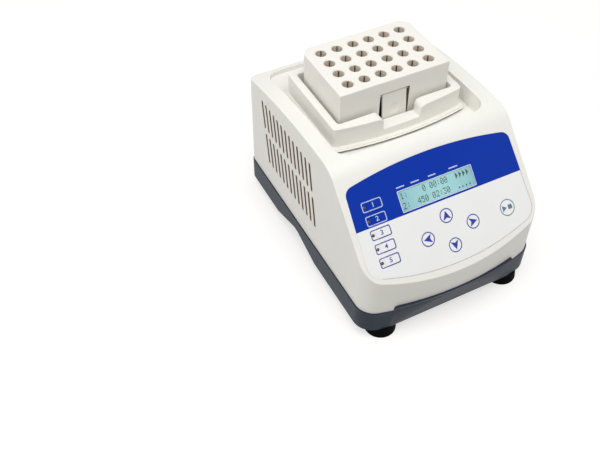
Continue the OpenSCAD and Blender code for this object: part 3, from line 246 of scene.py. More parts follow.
# Tube block and latch
block_half = 60.75 * mm
block_rear = 90.1 * mm
block_front = 8.1 * mm
block_low = 152.2 * mm
block_high = 200 * mm
block_chamfer = 8 * mm
block_wall = 2.4 * mm
block_roof = 3 * mm
block_edge_r = 0.9 * mm
wells = [(x * mm, y * mm) for x in (-45, -27, -9, 9, 27, 45) for y in (22.1, 40.1, 58.1, 76.1)]
well_r = 5.5 * mm
well_low = 160 * mm
well_chamfer = 0.9 * mm
well_flare = 1.5
well_flare_h = 2 * mm
socket_r = 6.9 * mm
socket_floor_t = 2 * mm
slit_half = (7.4 * mm, 0.6 * mm)
slit_low = well_low + 1 * mm
slit_high = block_high - 1.8 * mm
slit_angle = math.radians(60)
latch_at = (0, 10.9 * mm, 182.2 * mm)
latch_lean = math.radians(8)
latch_h = 28.8 * mm
latch_size = (27 * mm, 2.2 * mm)
latch_edge_r = 0.35 * mm
latch_sharp_angle = math.radians(50)
latch_barrel_r = 2 * mm
latch_bore_r = 1.1 * mm
nose_out = 3.6 * mm
nose_h = 1.7 * mm
nose_root = 2 * mm
# Height up to which the latch recess is painted in dark shade
recess_shade_top = 181.5 * mm
dimple_down = 16.7 * mm
dimple_deep = 1.2 * mm
dimple_r = 6.25 * mm
dimple_ball = (dimple_r ** 2 + dimple_deep ** 2) / (2 * dimple_deep)

# Plain boxes, each by two corners in millimetres, and how far the lugs and their grooves are shifted
lug_xs = (-38.75, 38.75)
rear_backing = ((-62.5, 130.5, 61), (24.5, 150, 99))
rear_recess = ((-59.5, 133.5, 64), (21.5, 145, 96))
inlet_hole = ((-52.5, 125, 71), (-27.5, 145, 89))
switch_hole = ((4, 125, 71), (16, 145, 89))
lug_groove = ((-6.5, 89.5, 152), (6.5, 93.6, 173))
block_lug = ((-6, 89, 152.2), (6, 93.1, 155.2))
latch_catch = ((-14.1, 2.73, 153.58), (14.1, 5, 156.78))
latch_recess = ((-16.5, 0, 150), (16.5, 13.3, 186))
latch_liner = ((-18.9, 0, 140), (18.9, 14.5, 187.2))
recess_half = latch_recess[1][0] * mm
recess_deep = latch_recess[1][1] * mm - block_front

# Studio, with each softbox by its place, its target, its size and its power
floor_size = 8
floor_tone = (0.5, 0.49, 0.475, 1)
floor_glow = 0.62
ambient_tone = (1, 0.975, 0.935, 1)
ambient_level = 0.38
white = (1, 1, 1, 1)
softboxes = {
    "overhead": ((-0.15, -0.25, 1.5), (0, 0, 0.1), (1.4, 1.2), 14.4),
    "left_fill": ((-1.4, 0.1, 0.7), (0, 0, 0.1), (0.9, 0.9), 4.4),
    "right_fill": ((0.95, -0.95, 0.6), (0.05, -0.1, 0.1), (0.6, 0.6), 1.0),
}
camera_at = (-0.3602, -0.4981, 0.6677)
camera_turn = (math.radians(90 - 47.61), 0, math.radians(-26.98))
camera_sensor = 36
camera_lens = 48.24
camera_near = 0.01


# Shader maths


class Wire:
    """One shader socket; sums and products of wires and numbers add their Math nodes."""

    def __init__(self, sheet, socket):
        self.sheet = sheet
        self.socket = socket

    def math(self, operation, other):
        return self.sheet.node("ShaderNodeMath", {"operation": operation}, {0: self, 1: other})

    def __add__(self, other):
        return self.math("ADD", other)

    def __mul__(self, other):
        return self.math("MULTIPLY", other)

    __radd__ = __add__
    __rmul__ = __mul__

    def larger(self, other):
        return self.math("MAXIMUM", other)


class Sheet:
    """A sheet of shader nodes."""

    def __init__(self, tree):
        self.tree = tree
        self.tree.nodes.clear()

    def node(self, kind, settings, sockets, out=0):
        made = self.tree.nodes.new(kind)
        for name, value in settings.items():
            setattr(made, name, value)
        for name, value in sockets.items():
            if isinstance(value, Wire):
                self.tree.links.new(value.socket, made.inputs[name])
            else:
                made.inputs[name].default_value = value
        return Wire(self, made.outputs[out]) if made.outputs else None

    def background_rays(self):
        """One for the rays that show the background: seen, mirrored or passed through a clear piece."""
        seen, mirrored, passed = (self.node("ShaderNodeLightPath", {}, {}, f"Is {kind} Ray")
                                  for kind in ("Camera", "Glossy", "Transmission"))
        return seen.larger(mirrored).larger(passed)


class Finish(Sheet):
    """One material and the sheet of nodes that makes it."""

    def __init__(self, name):
        self.material = bpy.data.materials.new(name)
        self.material.use_nodes = True
        super().__init__(self.material.node_tree)
        self.place = self.node("ShaderNodeTexCoord", {}, {}, "Object")

    def noise(self, size, detail=2.0):
        sockets = {"Vector": self.place, "Scale": 1 / size, "Detail": detail}
        return self.node("ShaderNodeTexNoise", {}, sockets)

    def mix(self, share, low, high):
        return self.node("ShaderNodeMix", {"data_type": "RGBA"}, {0: share, 6: low, 7: high}, 2)

    def bump(self, height, strength, distance):
        return self.node("ShaderNodeBump", {}, {"Height": height, "Strength": strength, "Distance": distance})

    def surface(self, **sockets):
        named = {name.replace("_", " "): value for name, value in sockets.items()}
        return self.finished(self.node("ShaderNodeBsdfPrincipled", {}, named))

    def finished(self, shader):
        self.node("ShaderNodeOutputMaterial", {}, {"Surface": shader})
        return self.material


def colour(red, green, blue):
    """A display colour, 0 to 255, as the linear colour that shaders take."""
    def linear(value):
        value /= 255
        return value / 12.92 if value <= 0.04045 else ((value + 0.055) / 1.055) ** 2.4
    return (linear(red), linear(green), linear(blue), 1.0)


def shaded(tone, share):
    return tuple(share * value for value in tone[:3]) + (1.0,)


# Finishes


def moulded(name, tone, rough, relief=0.10, **more):
    """Moulded plastic: a fine eroded grain, with faint clouds in its colour and gloss."""
    finish = Finish(name)
    cloud = finish.noise(60 * mm, 3.0)
    pits = finish.noise(0.45 * mm)
    return finish.surface(
        Base_Color=finish.mix(cloud, shaded(tone, 0.955), shaded(tone, 1.02)),
        Roughness=rough - 0.05 + 0.06 * cloud + 0.06 * pits,
        Normal=finish.bump(pits, relief, 0.05 * mm),
        **more,
    )


def printed(name, tone, rough=0.34, **more):
    """Printed film: an even ink with a faint screen and a soft haze."""
    finish = Finish(name)
    cloud = finish.noise(35 * mm)
    screen = finish.noise(0.25 * mm, 1.0)
    return finish.surface(
        Base_Color=finish.mix(cloud, shaded(tone, 0.97), shaded(tone, 1.02)),
        Roughness=rough + 0.05 * cloud,
        Normal=finish.bump(screen, 0.05, 0.02 * mm),
        **more,
    )


def metal(name, tone, rough):
    """Bare metal with fine drawn streaks and a little tarnish."""
    finish = Finish(name)
    turned = finish.node("ShaderNodeMapping", {}, {"Vector": finish.place, "Scale": (1, 1, 12)})
    lines = finish.node("ShaderNodeTexNoise", {}, {"Vector": turned, "Scale": 1 / (6 * mm), "Detail": 4.0})
    cloud = finish.noise(14 * mm)
    return finish.surface(
        Base_Color=finish.mix(cloud, shaded(tone, 0.86), tone),
        Roughness=rough + 0.12 * lines,
        Normal=finish.bump(lines, 0.06, 0.05 * mm),
        Metallic=1.0,
    )


def rubber(name, tone):
    """Dull rubber with dust in its pits."""
    finish = Finish(name)
    dust = finish.noise(9 * mm, 4.0)
    pits = finish.noise(0.7 * mm)
    return finish.surface(
        Base_Color=finish.mix(dust, tone, shaded(tone, 2.0)),
        Roughness=0.62 + 0.2 * dust,
        Normal=finish.bump(pits, 0.2, 0.08 * mm),
        Specular_IOR_Level=0.03,
    )


def laminate(name, tone, trace):
    """A circuit board: green resist over copper tracks."""
    finish = Finish(name)
    tracks = finish.node("ShaderNodeTexBrick", {"offset": 0.5, "squash": 1.6, "squash_frequency": 3}, {
        "Vector": finish.place, "Scale": 1.0, "Mortar Size": 0.35 * mm, "Brick Width": 6 * mm,
        "Row Height": 2.4 * mm}, "Fac")
    cloud = finish.noise(11 * mm)
    return finish.surface(
        Base_Color=finish.mix(tracks, tone, trace),
        Roughness=0.32 + 0.1 * cloud,
        Normal=finish.bump(tracks, 0.15, 0.04 * mm),
    )


def screen_glow(name, middle, edge):
    """The lit display: paler in its middle, with the light falling off to its ends."""
    finish = Finish(name)
    across = finish.node("ShaderNodeSeparateXYZ", {}, {0: finish.place}, "X")
    ends = across * across * (1 / (window_half[0] * window_half[0]))
    cloud = finish.noise(16 * mm)
    tone = finish.mix(0.55 * ends + 0.35 * cloud, middle, edge)
    return finish.surface(
        Base_Color=tone,
        Roughness=0.24 + 0.05 * cloud,
        Emission_Color=tone,
        Emission_Strength=0.16,
    )


housing_finish = moulded("housing_ivory", colour(244, 243, 238), 0.40)
base_finish = moulded("base_slate", colour(45, 55, 68), 0.42, relief=0.14, Specular_IOR_Level=0.15)
tray_finish = moulded("tray_ivory", colour(244, 243, 237), 0.38)
block_finish = moulded("block_ivory", colour(244, 242, 236), 0.42)
# Painted shade: a brown tone for the walls of the vent slots and for one cheek of the latch recess
painted_brown_shade = moulded("shade_painted_brown", colour(152, 134, 110), 0.6)
# Painted shade: a darker beige for the walls of the wells
painted_well_shade = moulded("well_painted_shade", colour(230, 221, 206), 0.5)
# Painted shade: a near-black for the slits, the latch recess and the underside of the tray's flange
painted_dark_shade = moulded("shade_painted_dark", colour(44, 40, 36), 0.6)
latch_finish = moulded("latch_ivory", colour(238, 236, 230), 0.40)
rubber_finish = rubber("foot_rubber", colour(6, 6, 7))
black_finish = moulded("black_plastic", colour(24, 24, 26), 0.40, relief=0.12)
rocker_finish = moulded("rocker_red", colour(140, 22, 18), 0.30, relief=0.04)
blue_film = printed("panel_blue", colour(8, 54, 170), Specular_IOR_Level=0.1)
white_film = printed("panel_white", colour(245, 246, 247), Specular_IOR_Level=0.3)
navy_ink = printed("ink_navy", colour(16, 46, 158), 0.4)
pale_ink = printed("ink_pale", colour(188, 204, 238), 0.4)
grey_ink = printed("ink_grey", colour(88, 122, 146), 0.4)
# Partly painted shadow: a grey for the line along the overlay's lower edge and up the white film's right
# edge, where it stands for the shadow of the film's step
edge_line_and_painted_shadow = printed("grey_edge_line_painted_shadow", colour(176, 178, 182), 0.4)
dark_ink = printed("display_dots", colour(10, 18, 24), 0.5, Specular_IOR_Level=0.1)
screen_finish = screen_glow("display_teal", colour(156, 212, 215), colour(92, 162, 172))
pane_finish = printed("window_pane", colour(235, 245, 246), 0.18, Alpha=0.06)
lamp_finish = printed("lamp_amber", colour(92, 52, 38), 0.2, Coat_Weight=0.6)
steel_finish = metal("screw_steel", colour(176, 180, 184), 0.28)
plate_finish = metal("plate_zinc", colour(170, 174, 180), 0.36)
motor_finish = metal("motor_steel", colour(96, 100, 106), 0.34)
brass_finish = metal("brass", colour(200, 166, 90), 0.26)
alloy_finish = metal("platform_alloy", colour(186, 190, 194), 0.38)
board_finish = laminate("circuit_board", colour(34, 92, 62), colour(62, 128, 84))


# Ways of working


def leave():
    bpy.ops.object.mode_set(mode="OBJECT")


def clear():
    if bpy.context.mode != "OBJECT":
        leave()
    bpy.ops.object.select_all(action="DESELECT")


def only(piece):
    clear()
    piece.select_set(True)
    bpy.context.view_layer.objects.active = piece


def enter(piece):
    """Goes into edit mode with all of a piece selected."""
    only(piece)
    bpy.ops.object.mode_set(mode="EDIT")
    bpy.ops.mesh.select_all(action="SELECT")


def pick(piece, rule):
    """Goes into edit mode and selects the faces that a rule takes."""
    enter(piece)
    bpy.ops.mesh.select_mode(type="FACE")
    bpy.ops.mesh.select_all(action="DESELECT")
    mesh = bmesh.from_edit_mesh(piece.data)
    mesh.normal_update()
    for face in mesh.faces:
        if rule(face):
            face.select_set(True)
    bmesh.update_edit_mesh(piece.data)


def faces_up(face):
    return face.normal.z > 0.9


def faces_down(face):
    return face.normal.z < -0.9


def slab(name, outline, low, high, turn=None):
    """A flat outline given a height: a filled ring is set on the outline and pulled up."""
    clear()
    bpy.ops.mesh.primitive_circle_add(vertices=len(outline), radius=mm, fill_type="NGON")
    piece = bpy.context.object
    piece.name = name
    for point, place in zip(piece.data.vertices, outline):
        point.co = (place[0], place[1], low)
    enter(piece)
    bpy.ops.mesh.extrude_region_move(TRANSFORM_OT_translate={"value": (0, 0, high - low)})
    bpy.ops.mesh.select_all(action="SELECT")
    bpy.ops.mesh.normals_make_consistent(inside=False)
    leave()
    if turn is not None:
        piece.data.transform(turn)
    return piece


def box(name, corners, shift=0):
    """A box between two corners in millimetres, shifted across."""
    (x0, y0, z0), (x1, y1, z1) = corners
    plan = [(x0 + shift, y0), (x1 + shift, y0), (x1 + shift, y1), (x0 + shift, y1)]
    return slab(name, [(x * mm, y * mm) for x, y in plan], z0 * mm, z1 * mm)


def settled(piece):
    """Puts a new primitive's place into its mesh."""
    piece.data.transform(piece.matrix_world)
    piece.matrix_world = Matrix.Identity(4)
    return piece


def twin(piece, name, turn):
    """A copy with a mesh of its own, moved by a matrix."""
    copy = bpy.data.objects.new(name, piece.data.copy())
    bpy.context.scene.collection.objects.link(copy)
    copy.data.transform(turn)
    return copy


def join(name, pieces):
    clear()
    for piece in pieces:
        piece.select_set(True)
    bpy.context.view_layer.objects.active = pieces[0]
    bpy.ops.object.join()
    pieces[0].name = name
    return pieces[0]


def repeat(piece, name, turns):
    """One modelled shape copied to several places as one piece."""
    copies = [twin(piece, name, turn) for turn in turns]
    bpy.data.objects.remove(piece)
    return join(name, copies)


def shifts(places):
    return [Matrix.Translation((x, y, 0)) for x, y in places]


def carve(piece, tool, way="DIFFERENCE"):
    only(piece)
    cut = piece.modifiers.new("cut", "BOOLEAN")
    cut.operation = way
    cut.solver = "EXACT"
    cut.object = tool
    bpy.ops.object.modifier_apply(modifier=cut.name)
    bpy.data.objects.remove(tool)
    return piece


def slice_off(piece, point, normal):
    """Cuts away what lies on the normal's side of a plane and closes the cut."""
    enter(piece)
    bpy.ops.mesh.bisect(plane_co=point, plane_no=normal, use_fill=True, clear_outer=True,
                        threshold=cut_tolerance)
    leave()
    return piece


def soften(piece, share, width, segments=3):
    """Rounds the edges that a rule gives a share of the width."""
    mesh = bmesh.new()
    mesh.from_mesh(piece.data)
    mesh.normal_update()
    weight = mesh.edges.layers.float.new("bevel_weight_edge")
    for edge in mesh.edges:
        if len(edge.link_faces) == 2:
            edge[weight] = float(share(edge))
    mesh.to_mesh(piece.data)
    mesh.free()
    only(piece)
    rounding = piece.modifiers.new("rounding", "BEVEL")
    rounding.limit_method = "WEIGHT"
    rounding.width = width
    rounding.segments = segments
    bpy.ops.object.modifier_apply(modifier=rounding.name)
    layer = piece.data.attributes.get("bevel_weight_edge")
    if layer:
        piece.data.attributes.remove(layer)
    return piece


def sharp(edge, least=sharp_angle):
    return edge.calc_face_angle(0) > least


def middle(edge):
    return (edge.verts[0].co + edge.verts[1].co) / 2


def sharp_above(level):
    """A rule that takes the sharp edges over a height."""
    return lambda edge: sharp(edge) and middle(edge).z > level


def close_up(piece):
    """Merges doubles, turns faces outward and smooths the round surfaces."""
    enter(piece)
    bpy.ops.mesh.remove_doubles(threshold=weld)
    bpy.ops.mesh.normals_make_consistent(inside=False)
    leave()
    bpy.ops.object.shade_smooth_by_angle(angle=smooth_angle)
    even = piece.modifiers.new("even", "WEIGHTED_NORMAL")
    even.keep_sharp = True
    bpy.ops.object.modifier_apply(modifier=even.name)
    return piece


def give(piece, body, finish, slot_name, *nodes):
    """Dresses a finished piece, ties it to the body and hides the solids that it stands for."""
    piece.data.materials.clear()
    piece.data.materials.append(finish)
    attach(piece, body)
    if nodes:
        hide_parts(*nodes)
    return piece


def paint_shade(piece, finish, rule):
    """Paints shade on the faces that a rule takes, by middle and normal, with a material of their own."""
    piece.data.materials.append(finish)
    for face in piece.data.polygons:
        if rule(face.center, face.normal):
            face.material_index = len(piece.data.materials) - 1


def copy_of(node, name):
    """A workable copy of a solid: its loose triangles merged and its flat faces made whole."""
    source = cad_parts[node]
    piece = bpy.data.objects.new(name, source.data.copy())
    bpy.context.scene.collection.objects.link(piece)
    enter(piece)
    bpy.ops.mesh.remove_doubles(threshold=solid_weld)
    bpy.ops.mesh.dissolve_limited(angle_limit=flat_angle)
    leave()
    return piece


# Outlines


def arc(centre, radius, start, end, steps):
    """Points on an arc between two angles in degrees, both ends included."""
    turns = [math.radians(start + (end - start) * i / steps) for i in range(steps + 1)]
    return [(centre[0] + radius * math.cos(t), centre[1] + radius * math.sin(t)) for t in turns]


def ring(centre, radius, steps=40):
    return arc(centre, radius, 0, 360, steps)[:-1]


def round_rect(size, r, at=(0, 0), steps=6):
    x, y = size[0] / 2 - r, size[1] / 2 - r
    points = []
    for sx, sy, start in ((1, -1, -90), (1, 1, 0), (-1, 1, 90), (-1, -1, 180)):
        points += arc((at[0] + sx * x, at[1] + sy * y), r, start, start + 90, steps)
    return points


def bowed_outline(half, rear, front, bow, front_r, rear_r, fine=10):
    """Straight sides and rear, a bowed front and four round corners."""
    bow_y = front + bow
    corner_y = bow_y - math.sqrt((bow - front_r) ** 2 - (half - front_r) ** 2)
    spread = math.degrees(math.asin((half - front_r) / (bow - front_r)))
    points = arc((0, bow_y), bow, -90 - spread, -90 + spread, 3 * fine)
    points += arc((half - front_r, corner_y), front_r, -90 + spread, 0, fine)[1:]
    points += arc((half - rear_r, rear - rear_r), rear_r, 0, 90, fine)
    points += arc((rear_r - half, rear - rear_r), rear_r, 90, 180, fine)
    points += arc((front_r - half, corner_y), front_r, 180, 270 - spread, fine)[:-1]
    return points


def housing_outline(inset):
    return bowed_outline(half_w - inset, rear_y - inset, front_y + inset, bow_r - inset,
                         front_corner_r - inset, rear_corner_r - inset)


def base_outline(inset):
    return bowed_outline(base_half - inset, rear_y - base_inset - inset, front_y + base_inset + inset,
                         base_bow - inset, front_corner_r - inset, rear_corner_r - inset)


def flange_outline(inset):
    return bowed_outline(flange_half - inset, tray_rear + flange_back - inset,
                         tray_front - flange_reach + inset, flange_bow - inset,
                         flange_r - inset, flange_r - inset, 8)


def side_profile(inset, low):
    """The housing from the side, with Y across and Z up: the deck, the bend and the panel's slope."""
    slope_n = (-math.sin(slope), math.cos(slope))
    reach = slope_n[0] * front_y + slope_n[1] * lip_h
    from_mid = slope_n[0] * deck_mid[0] + slope_n[1] * deck_mid[1]
    arm = deck_r - crown_r
    bend = slope - math.acos((reach - crown_r - from_mid) / arm)
    crown = (deck_mid[0] - arm * math.sin(bend), deck_mid[1] + arm * math.cos(bend))
    back, front = rear_y + 2 * past, front_y - 2 * past
    start = math.degrees(math.acos((back - deck_mid[0]) / (deck_r - inset)))
    points = [(front, low), (back, low)]
    points += arc(deck_mid, deck_r - inset, start, 90 + math.degrees(bend), 28)
    points += arc(crown, crown_r - inset, 90 + math.degrees(bend), 90 + math.degrees(slope), 10)[1:]
    points += [(front, lip_h - 2 * past * math.tan(slope) - inset / math.cos(slope))]
    return points


def overlay_outline(grow):
    """The overlay on the panel: leaning sides, bowed upper and lower edges and round corners."""
    lean = math.atan((overlay_low_half - overlay_top_half) / (overlay_top + overlay_low))
    side_n = Vector((math.cos(lean), math.sin(lean)))
    side_up = Vector((-math.sin(lean), math.cos(lean)))
    tilt = math.degrees(lean)
    edge_steps, corner_steps = 30, 7
    points = []
    for sign in (-1, 1):
        bow, corner_r = overlay_bows[sign], overlay_corners[sign]
        start = Vector((overlay_low_half, -overlay_low)) - corner_r * side_n
        mid = Vector((0, sign * (overlay_top if sign > 0 else overlay_low) - sign * bow))
        away = start - mid
        along = away.dot(side_up)
        reach = math.sqrt(along ** 2 - away.length_squared + (bow - corner_r) ** 2)
        corner = start + (sign * reach - along) * side_up
        edge_n = (corner - mid).normalized()
        turn = math.degrees(math.atan2(edge_n.y, edge_n.x))
        r = corner_r + grow
        if sign < 0:
            points += arc(mid, bow + grow, -180 - turn, turn, edge_steps)
            points += arc(corner, r, turn, tilt, corner_steps)[1:]
        else:
            points += arc(corner, r, tilt, turn, corner_steps)
            points += arc(mid, bow + grow, turn, 180 - turn, edge_steps)[1:]
            points += arc((-corner.x, corner.y), r, 180 - turn, 180 - tilt, corner_steps)[1:]
    lower_right = points[edge_steps + 1:edge_steps + 1 + corner_steps]
    return points + [(-x, y) for x, y in reversed(lower_right)]


across_turn = Matrix(((0, 0, 1, 0), (1, 0, 0, 0), (0, 1, 0, 0), (0, 0, 0, 1)))
front_turn = Matrix(((1, 0, 0, 0), (0, 0, -1, 0), (0, 1, 0, 0), (0, 0, 0, 1)))


# Upper housing


def lean_in(piece):
    for point in piece.data.vertices:
        point.co.x *= 1 - side_lean * (point.co.z - split_h) / (deck_h - split_h) / half_w


def housing_core(name, inset, low):
    core = slab(name, housing_outline(inset), low, deck_h + past)
    profile = slab("profile", side_profile(inset, low - past), -through, through, across_turn)
    carve(core, profile, "INTERSECT")
    lean_in(core)
    return core


def rim_share(edge):
    """The rim's rounding: full around the deck and down the sides, thinner along the panel's front."""
    top, side = sorted(edge.link_faces, key=lambda face: -face.normal.z)
    if top.normal.z < 0.5 or abs(side.normal.z) > 0.3:
        return 0
    on_panel = top.normal.y < -0.6
    return 1 - rim_thinning * max(0, -side.normal.y) if on_panel else 1


def pocket_outline(grow, steps):
    size = (pocket_size[0] + 2 * grow, pocket_size[1] + 2 * grow)
    return round_rect(size, pocket_r + grow, (0, pocket_mid), steps)


def pocket_share(edge):
    at = middle(edge)
    inside = (abs(at.x) < pocket_size[0] / 2 + 3 * hair
              and abs(at.y - pocket_mid) < pocket_size[1] / 2 + 3 * hair
              and at.z > pocket_floor - hair)
    if not inside or not sharp(edge):
        return 0
    return 0.7 if at.z < pocket_floor + hair else 1


def step_face(grow):
    """The front step seen from the front, with round ends."""
    size = (2 * (step_half + grow), 2 * (step_h - split_h + grow))
    return round_rect(size, step_r + grow, (0, split_h), 8)


def capsule(length, width):
    r = width / 2
    return arc((0, r), r, 180, 360, 6) + arc((0, length - r), r, 0, 180, 6)


def vent_turn(side, foot, low):
    c, s = math.cos(vent_slant), math.sin(vent_slant)
    turn = Matrix(((0, 0, 1, 0), (c, s, 0, 0), (-s, c, 0, 0), (0, 0, 0, 1)))
    return Matrix.Translation((side * half_w, foot, low)) @ turn


def vent_slots():
    slots = []
    for low, height in vent_rows:
        slot = slab("slot", capsule(height / math.cos(vent_slant), vent_slot), -2 * past, 2 * past)
        first = vent_foot_y + (low - vent_rows[0][0]) * math.tan(vent_slant)
        places = [(side, first - i * vent_pitch) for side in (-1, 1) for i in range(vent_count)]
        slots.append(repeat(slot, "slots", [vent_turn(side, foot, low) for side, foot in places]))
    return join("slots", slots)


def in_vent(at, n):
    return (abs(at.x) > half_w - side_lean - wall - 5 * hair and abs(n.x) < 0.6
            and vent_ys[0] < at.y < vent_ys[1] and vent_zs[0] < at.z < vent_zs[1])


def key_outline(name):
    """A key's middle on the panel, and its outline less a gap."""
    if name in arrow_keys:
        at = arrow_keys[name][:2]
        return at, lambda gap: ring(at, arrow_r - gap)
    if name == "start":
        return start_at, lambda gap: ring(start_at, start_r - gap)
    at = (pad_u, preset_vs[int(name[-1]) - 1])
    return at, lambda gap: round_rect((pad_size[0] - 2 * gap, pad_size[1] - 2 * gap), pad_r - gap, at, 4)


def window_outline(grow, r):
    return round_rect((2 * window_half[0] + grow, 2 * window_half[1] + grow), r, (0, window_v), 3)


preset_names = [f"preset_{i + 1}" for i in range(len(preset_vs))]
blue_presets = preset_names[:presets_on_blue]
key_names = [*arrow_keys, "start", *preset_names]


def panel_openings(grow):
    """Cutters for the keys, the lamps and the window, in the panel's own frame."""
    outlines = [key_outline(name)[1](-grow) for name in key_names]
    outlines += [ring((lamp_u, v), lamp_r + lamp_gap, 20) for v in preset_vs]
    outlines.append(window_outline(0, window_r))
    return join("openings", [slab("opening", outline, -past, past) for outline in outlines])


housing = housing_core("upper_housing_shell", 0, split_h)
soften(housing, rim_share, rim_r, 5)
hollow = housing_core("hollow", wall, split_h - 2 * past)
carve(hollow, slab("pocket_wall", pocket_outline(wall, 6), pocket_floor - wall, deck_h + 2 * past))
carve(hollow, box("rear_backing", rear_backing))
carve(housing, hollow)
carve(housing, slab("pocket", pocket_outline(0, 10), pocket_floor, deck_h + 2 * past))
soften(housing, pocket_share, pocket_edge_r)
carve(housing, slab("drive_opening", round_rect(drive_opening, drive_opening_r, (0, tray_y)),
                    pocket_floor - wall - past, pocket_floor + past))
carve(housing, slab("overlay_seat", overlay_outline(seam), -film, past, panel))
openings = panel_openings(key_opening)
openings.data.transform(panel)
carve(housing, openings)
carve(housing, vent_slots())
carve(housing, slab("step_seat", step_face(seam), *step_cut, front_turn))
carve(housing, box("rear_recess", rear_recess))
carve(housing, box("inlet_hole", inlet_hole))
carve(housing, box("switch_hole", switch_hole))
close_up(housing)
give(housing, "housing", housing_finish, "housing_plastic", "upper_housing")
# The walls of the vent slots are painted in brown shade
paint_shade(housing, painted_brown_shade, in_vent)


# Base


def base_lean(piece, inset):
    return slice_off(piece, (0, base_foot + inset, base_low), (0, -lean_rise, -lean_run))


def grip_face(grow):
    low, high = base_low - grip_under, base_low + grip_h + grow
    foot, top = grip_half + grow, grip_top_half + grow
    return [(grip_y - foot, low), (grip_y + foot, low), (grip_y + top, high), (grip_y - top, high)]


def grips(grow):
    inner = half_w - grip_in - grow
    return join("grips", [slab("grip", grip_face(grow), inner, through, across_turn),
                          slab("grip", grip_face(grow), -through, -inner, across_turn)])


def base_share(edge):
    """The base's rounding: full along its lower edge and the grips, less along the step and the top."""
    at = middle(edge)
    if not sharp(edge) or not edge.is_convex:
        return 0
    if at.z < base_low + grip_h + 5 * hair:
        return 1 if at.z < base_low + hair or abs(at.x) > half_w - wall else 0
    if at.z > step_h - step_r - 3 * hair:
        return 0.7
    return 0.35 if at.z > split_h - hair else 0


def front_step():
    """The step on the base's front, whose face leans out from the base to its full height."""
    mid_y = front_y + base_bow
    top_r = base_bow + step_proud
    foot_r = base_bow - base_inset - step_bite
    low_r = foot_r - (top_r - foot_r) * (split_h - step_low) / (step_h - split_h)
    spread = math.degrees(math.asin(step_side / top_r))
    plan = arc((0, mid_y), top_r, -90 - spread, -90 + spread, 48)
    plan += [(step_side, step_back), (-step_side, step_back)]
    step = slab("step", plan, step_low, step_h)
    for point in step.data.vertices:
        if point.co.z < split_h and point.co.y < step_back - 2 * past:
            point.co.x *= low_r / top_r
            point.co.y = mid_y + (point.co.y - mid_y) * low_r / top_r
    carve(step, slab("step_front", step_face(0), *step_cut, front_turn), "INTERSECT")
    return carve(step, slab("step_back", housing_outline(wall), step_low - past, step_h + past))


base = base_lean(slab("base_lower_shell", base_outline(0), base_low, split_h), 0)
carve(base, front_step(), "UNION")
inside = base_lean(slab("inside", base_outline(wall), base_low + wall, step_h + 2 * past), wall)
carve(inside, grips(wall))
carve(inside, join("bosses", [slab("boss", ring(p, boss_r, 24), 0, step_h + 3 * past) for p in boss_places]))
carve(base, inside)
carve(base, grips(0))
carve(base, join("screw_wells", [slab("well", ring(p, screw_well_r, 24), base_low - past,
                                      base_low + screw_well_deep) for p in boss_places]))
soften(base, base_share, base_edge_r)
close_up(base)
give(base, "housing", base_finish, "base_plastic", "base_shell")

# Feet
clear()
bpy.ops.mesh.primitive_cylinder_add(vertices=48, radius=foot_r, depth=base_low, location=(0, 0, base_low / 2))
foot = settled(bpy.context.object)
pick(foot, faces_up)
bpy.ops.transform.resize(value=(foot_taper, foot_taper, 1), center_override=(0, 0, base_low))
pick(foot, faces_down)
bpy.ops.mesh.inset(thickness=foot_r - foot_bore_r, depth=0)
bpy.ops.mesh.extrude_region_move(TRANSFORM_OT_translate={"value": (0, 0, foot_bore)})
leave()
soften(foot, lambda edge: sharp(edge) and middle(edge).z < hair, foot_edge_r, 4)
feet = repeat(foot, "rubber_feet_set", shifts(foot_places))
close_up(feet)
give(feet, "housing", rubber_finish, "foot_rubber", "rubber_feet")


# Control panel


def set_on_panel(piece):
    piece.data.transform(panel)
    return close_up(piece)


def film_piece(name, cut_side):
    piece = slab(name, overlay_outline(0), -film, 0)
    slice_off(piece, (0, 0, 0), (0, cut_side, 0))
    return set_on_panel(carve(piece, panel_openings(film_gap)))


def patch(name, outline):
    """A printed patch, a little proud of the panel."""
    return slab(name, outline, -print_sunk, print_t)


def line(name, outer, inner):
    """A line between two outlines: print, except the panel's edge line, which is partly painted shadow."""
    return carve(patch(name, outer), slab("inner", inner, -past, past))


def ink(piece, body, finish, slot_name="panel_film"):
    return give(set_on_panel(piece), body, finish, slot_name)


def preset_frame(i, inset):
    size = (preset_size[0] - 2 * inset, preset_size[1] - 2 * inset)
    at = (preset_left + preset_size[0] / 2, preset_vs[i])
    return round_rect(size, pad_r - 0.6 * inset, at, 5)


def preset_ink(name):
    return pale_ink if name in blue_presets else navy_ink


give(film_piece("panel_film_upper", -1), "housing", blue_film, "panel_film", "panel_overlay")
give(film_piece("panel_film_lower", 1), "housing", white_film, "key_film")

# A grey line along the overlay's lower edge and up the white film's right edge; up the right edge it is a
# painted shadow of the film's step
edge_line = line("panel_edge_line_painted_shadow", *(overlay_outline(-inset) for inset in edge_line_insets))
ink(slice_off(edge_line, edge_line_end, edge_line_away), "housing", edge_line_and_painted_shadow)
window_line = line("window_line", *map(window_outline, window_line_grows, window_line_rs))
ink(window_line, "housing", white_film, "key_film")

# Each preset's frame is printed half on the panel and half on its key
for i, name in enumerate(preset_names):
    pad = key_outline(name)[1]
    left = line(f"{name}_frame_left", *(preset_frame(i, inset) for inset in key_line_insets))
    right = twin(left, f"{name}_frame", Matrix.Identity(4))
    carve(left, slab("pad", pad(-preset_line_gap), -past, past))
    ink(left, "housing", preset_ink(name))
    carve(right, slab("pad", pad(preset_line_trim), -past, past), "INTERSECT")
    ink(right, f"key_{name}", preset_ink(name))

labels = [patch("label", round_rect((w * mm, label_h), label_r, (u * mm, label_v), 3))
          for u, w in label_marks]
ink(join("display_labels", labels), "housing", pale_ink)


# Keys


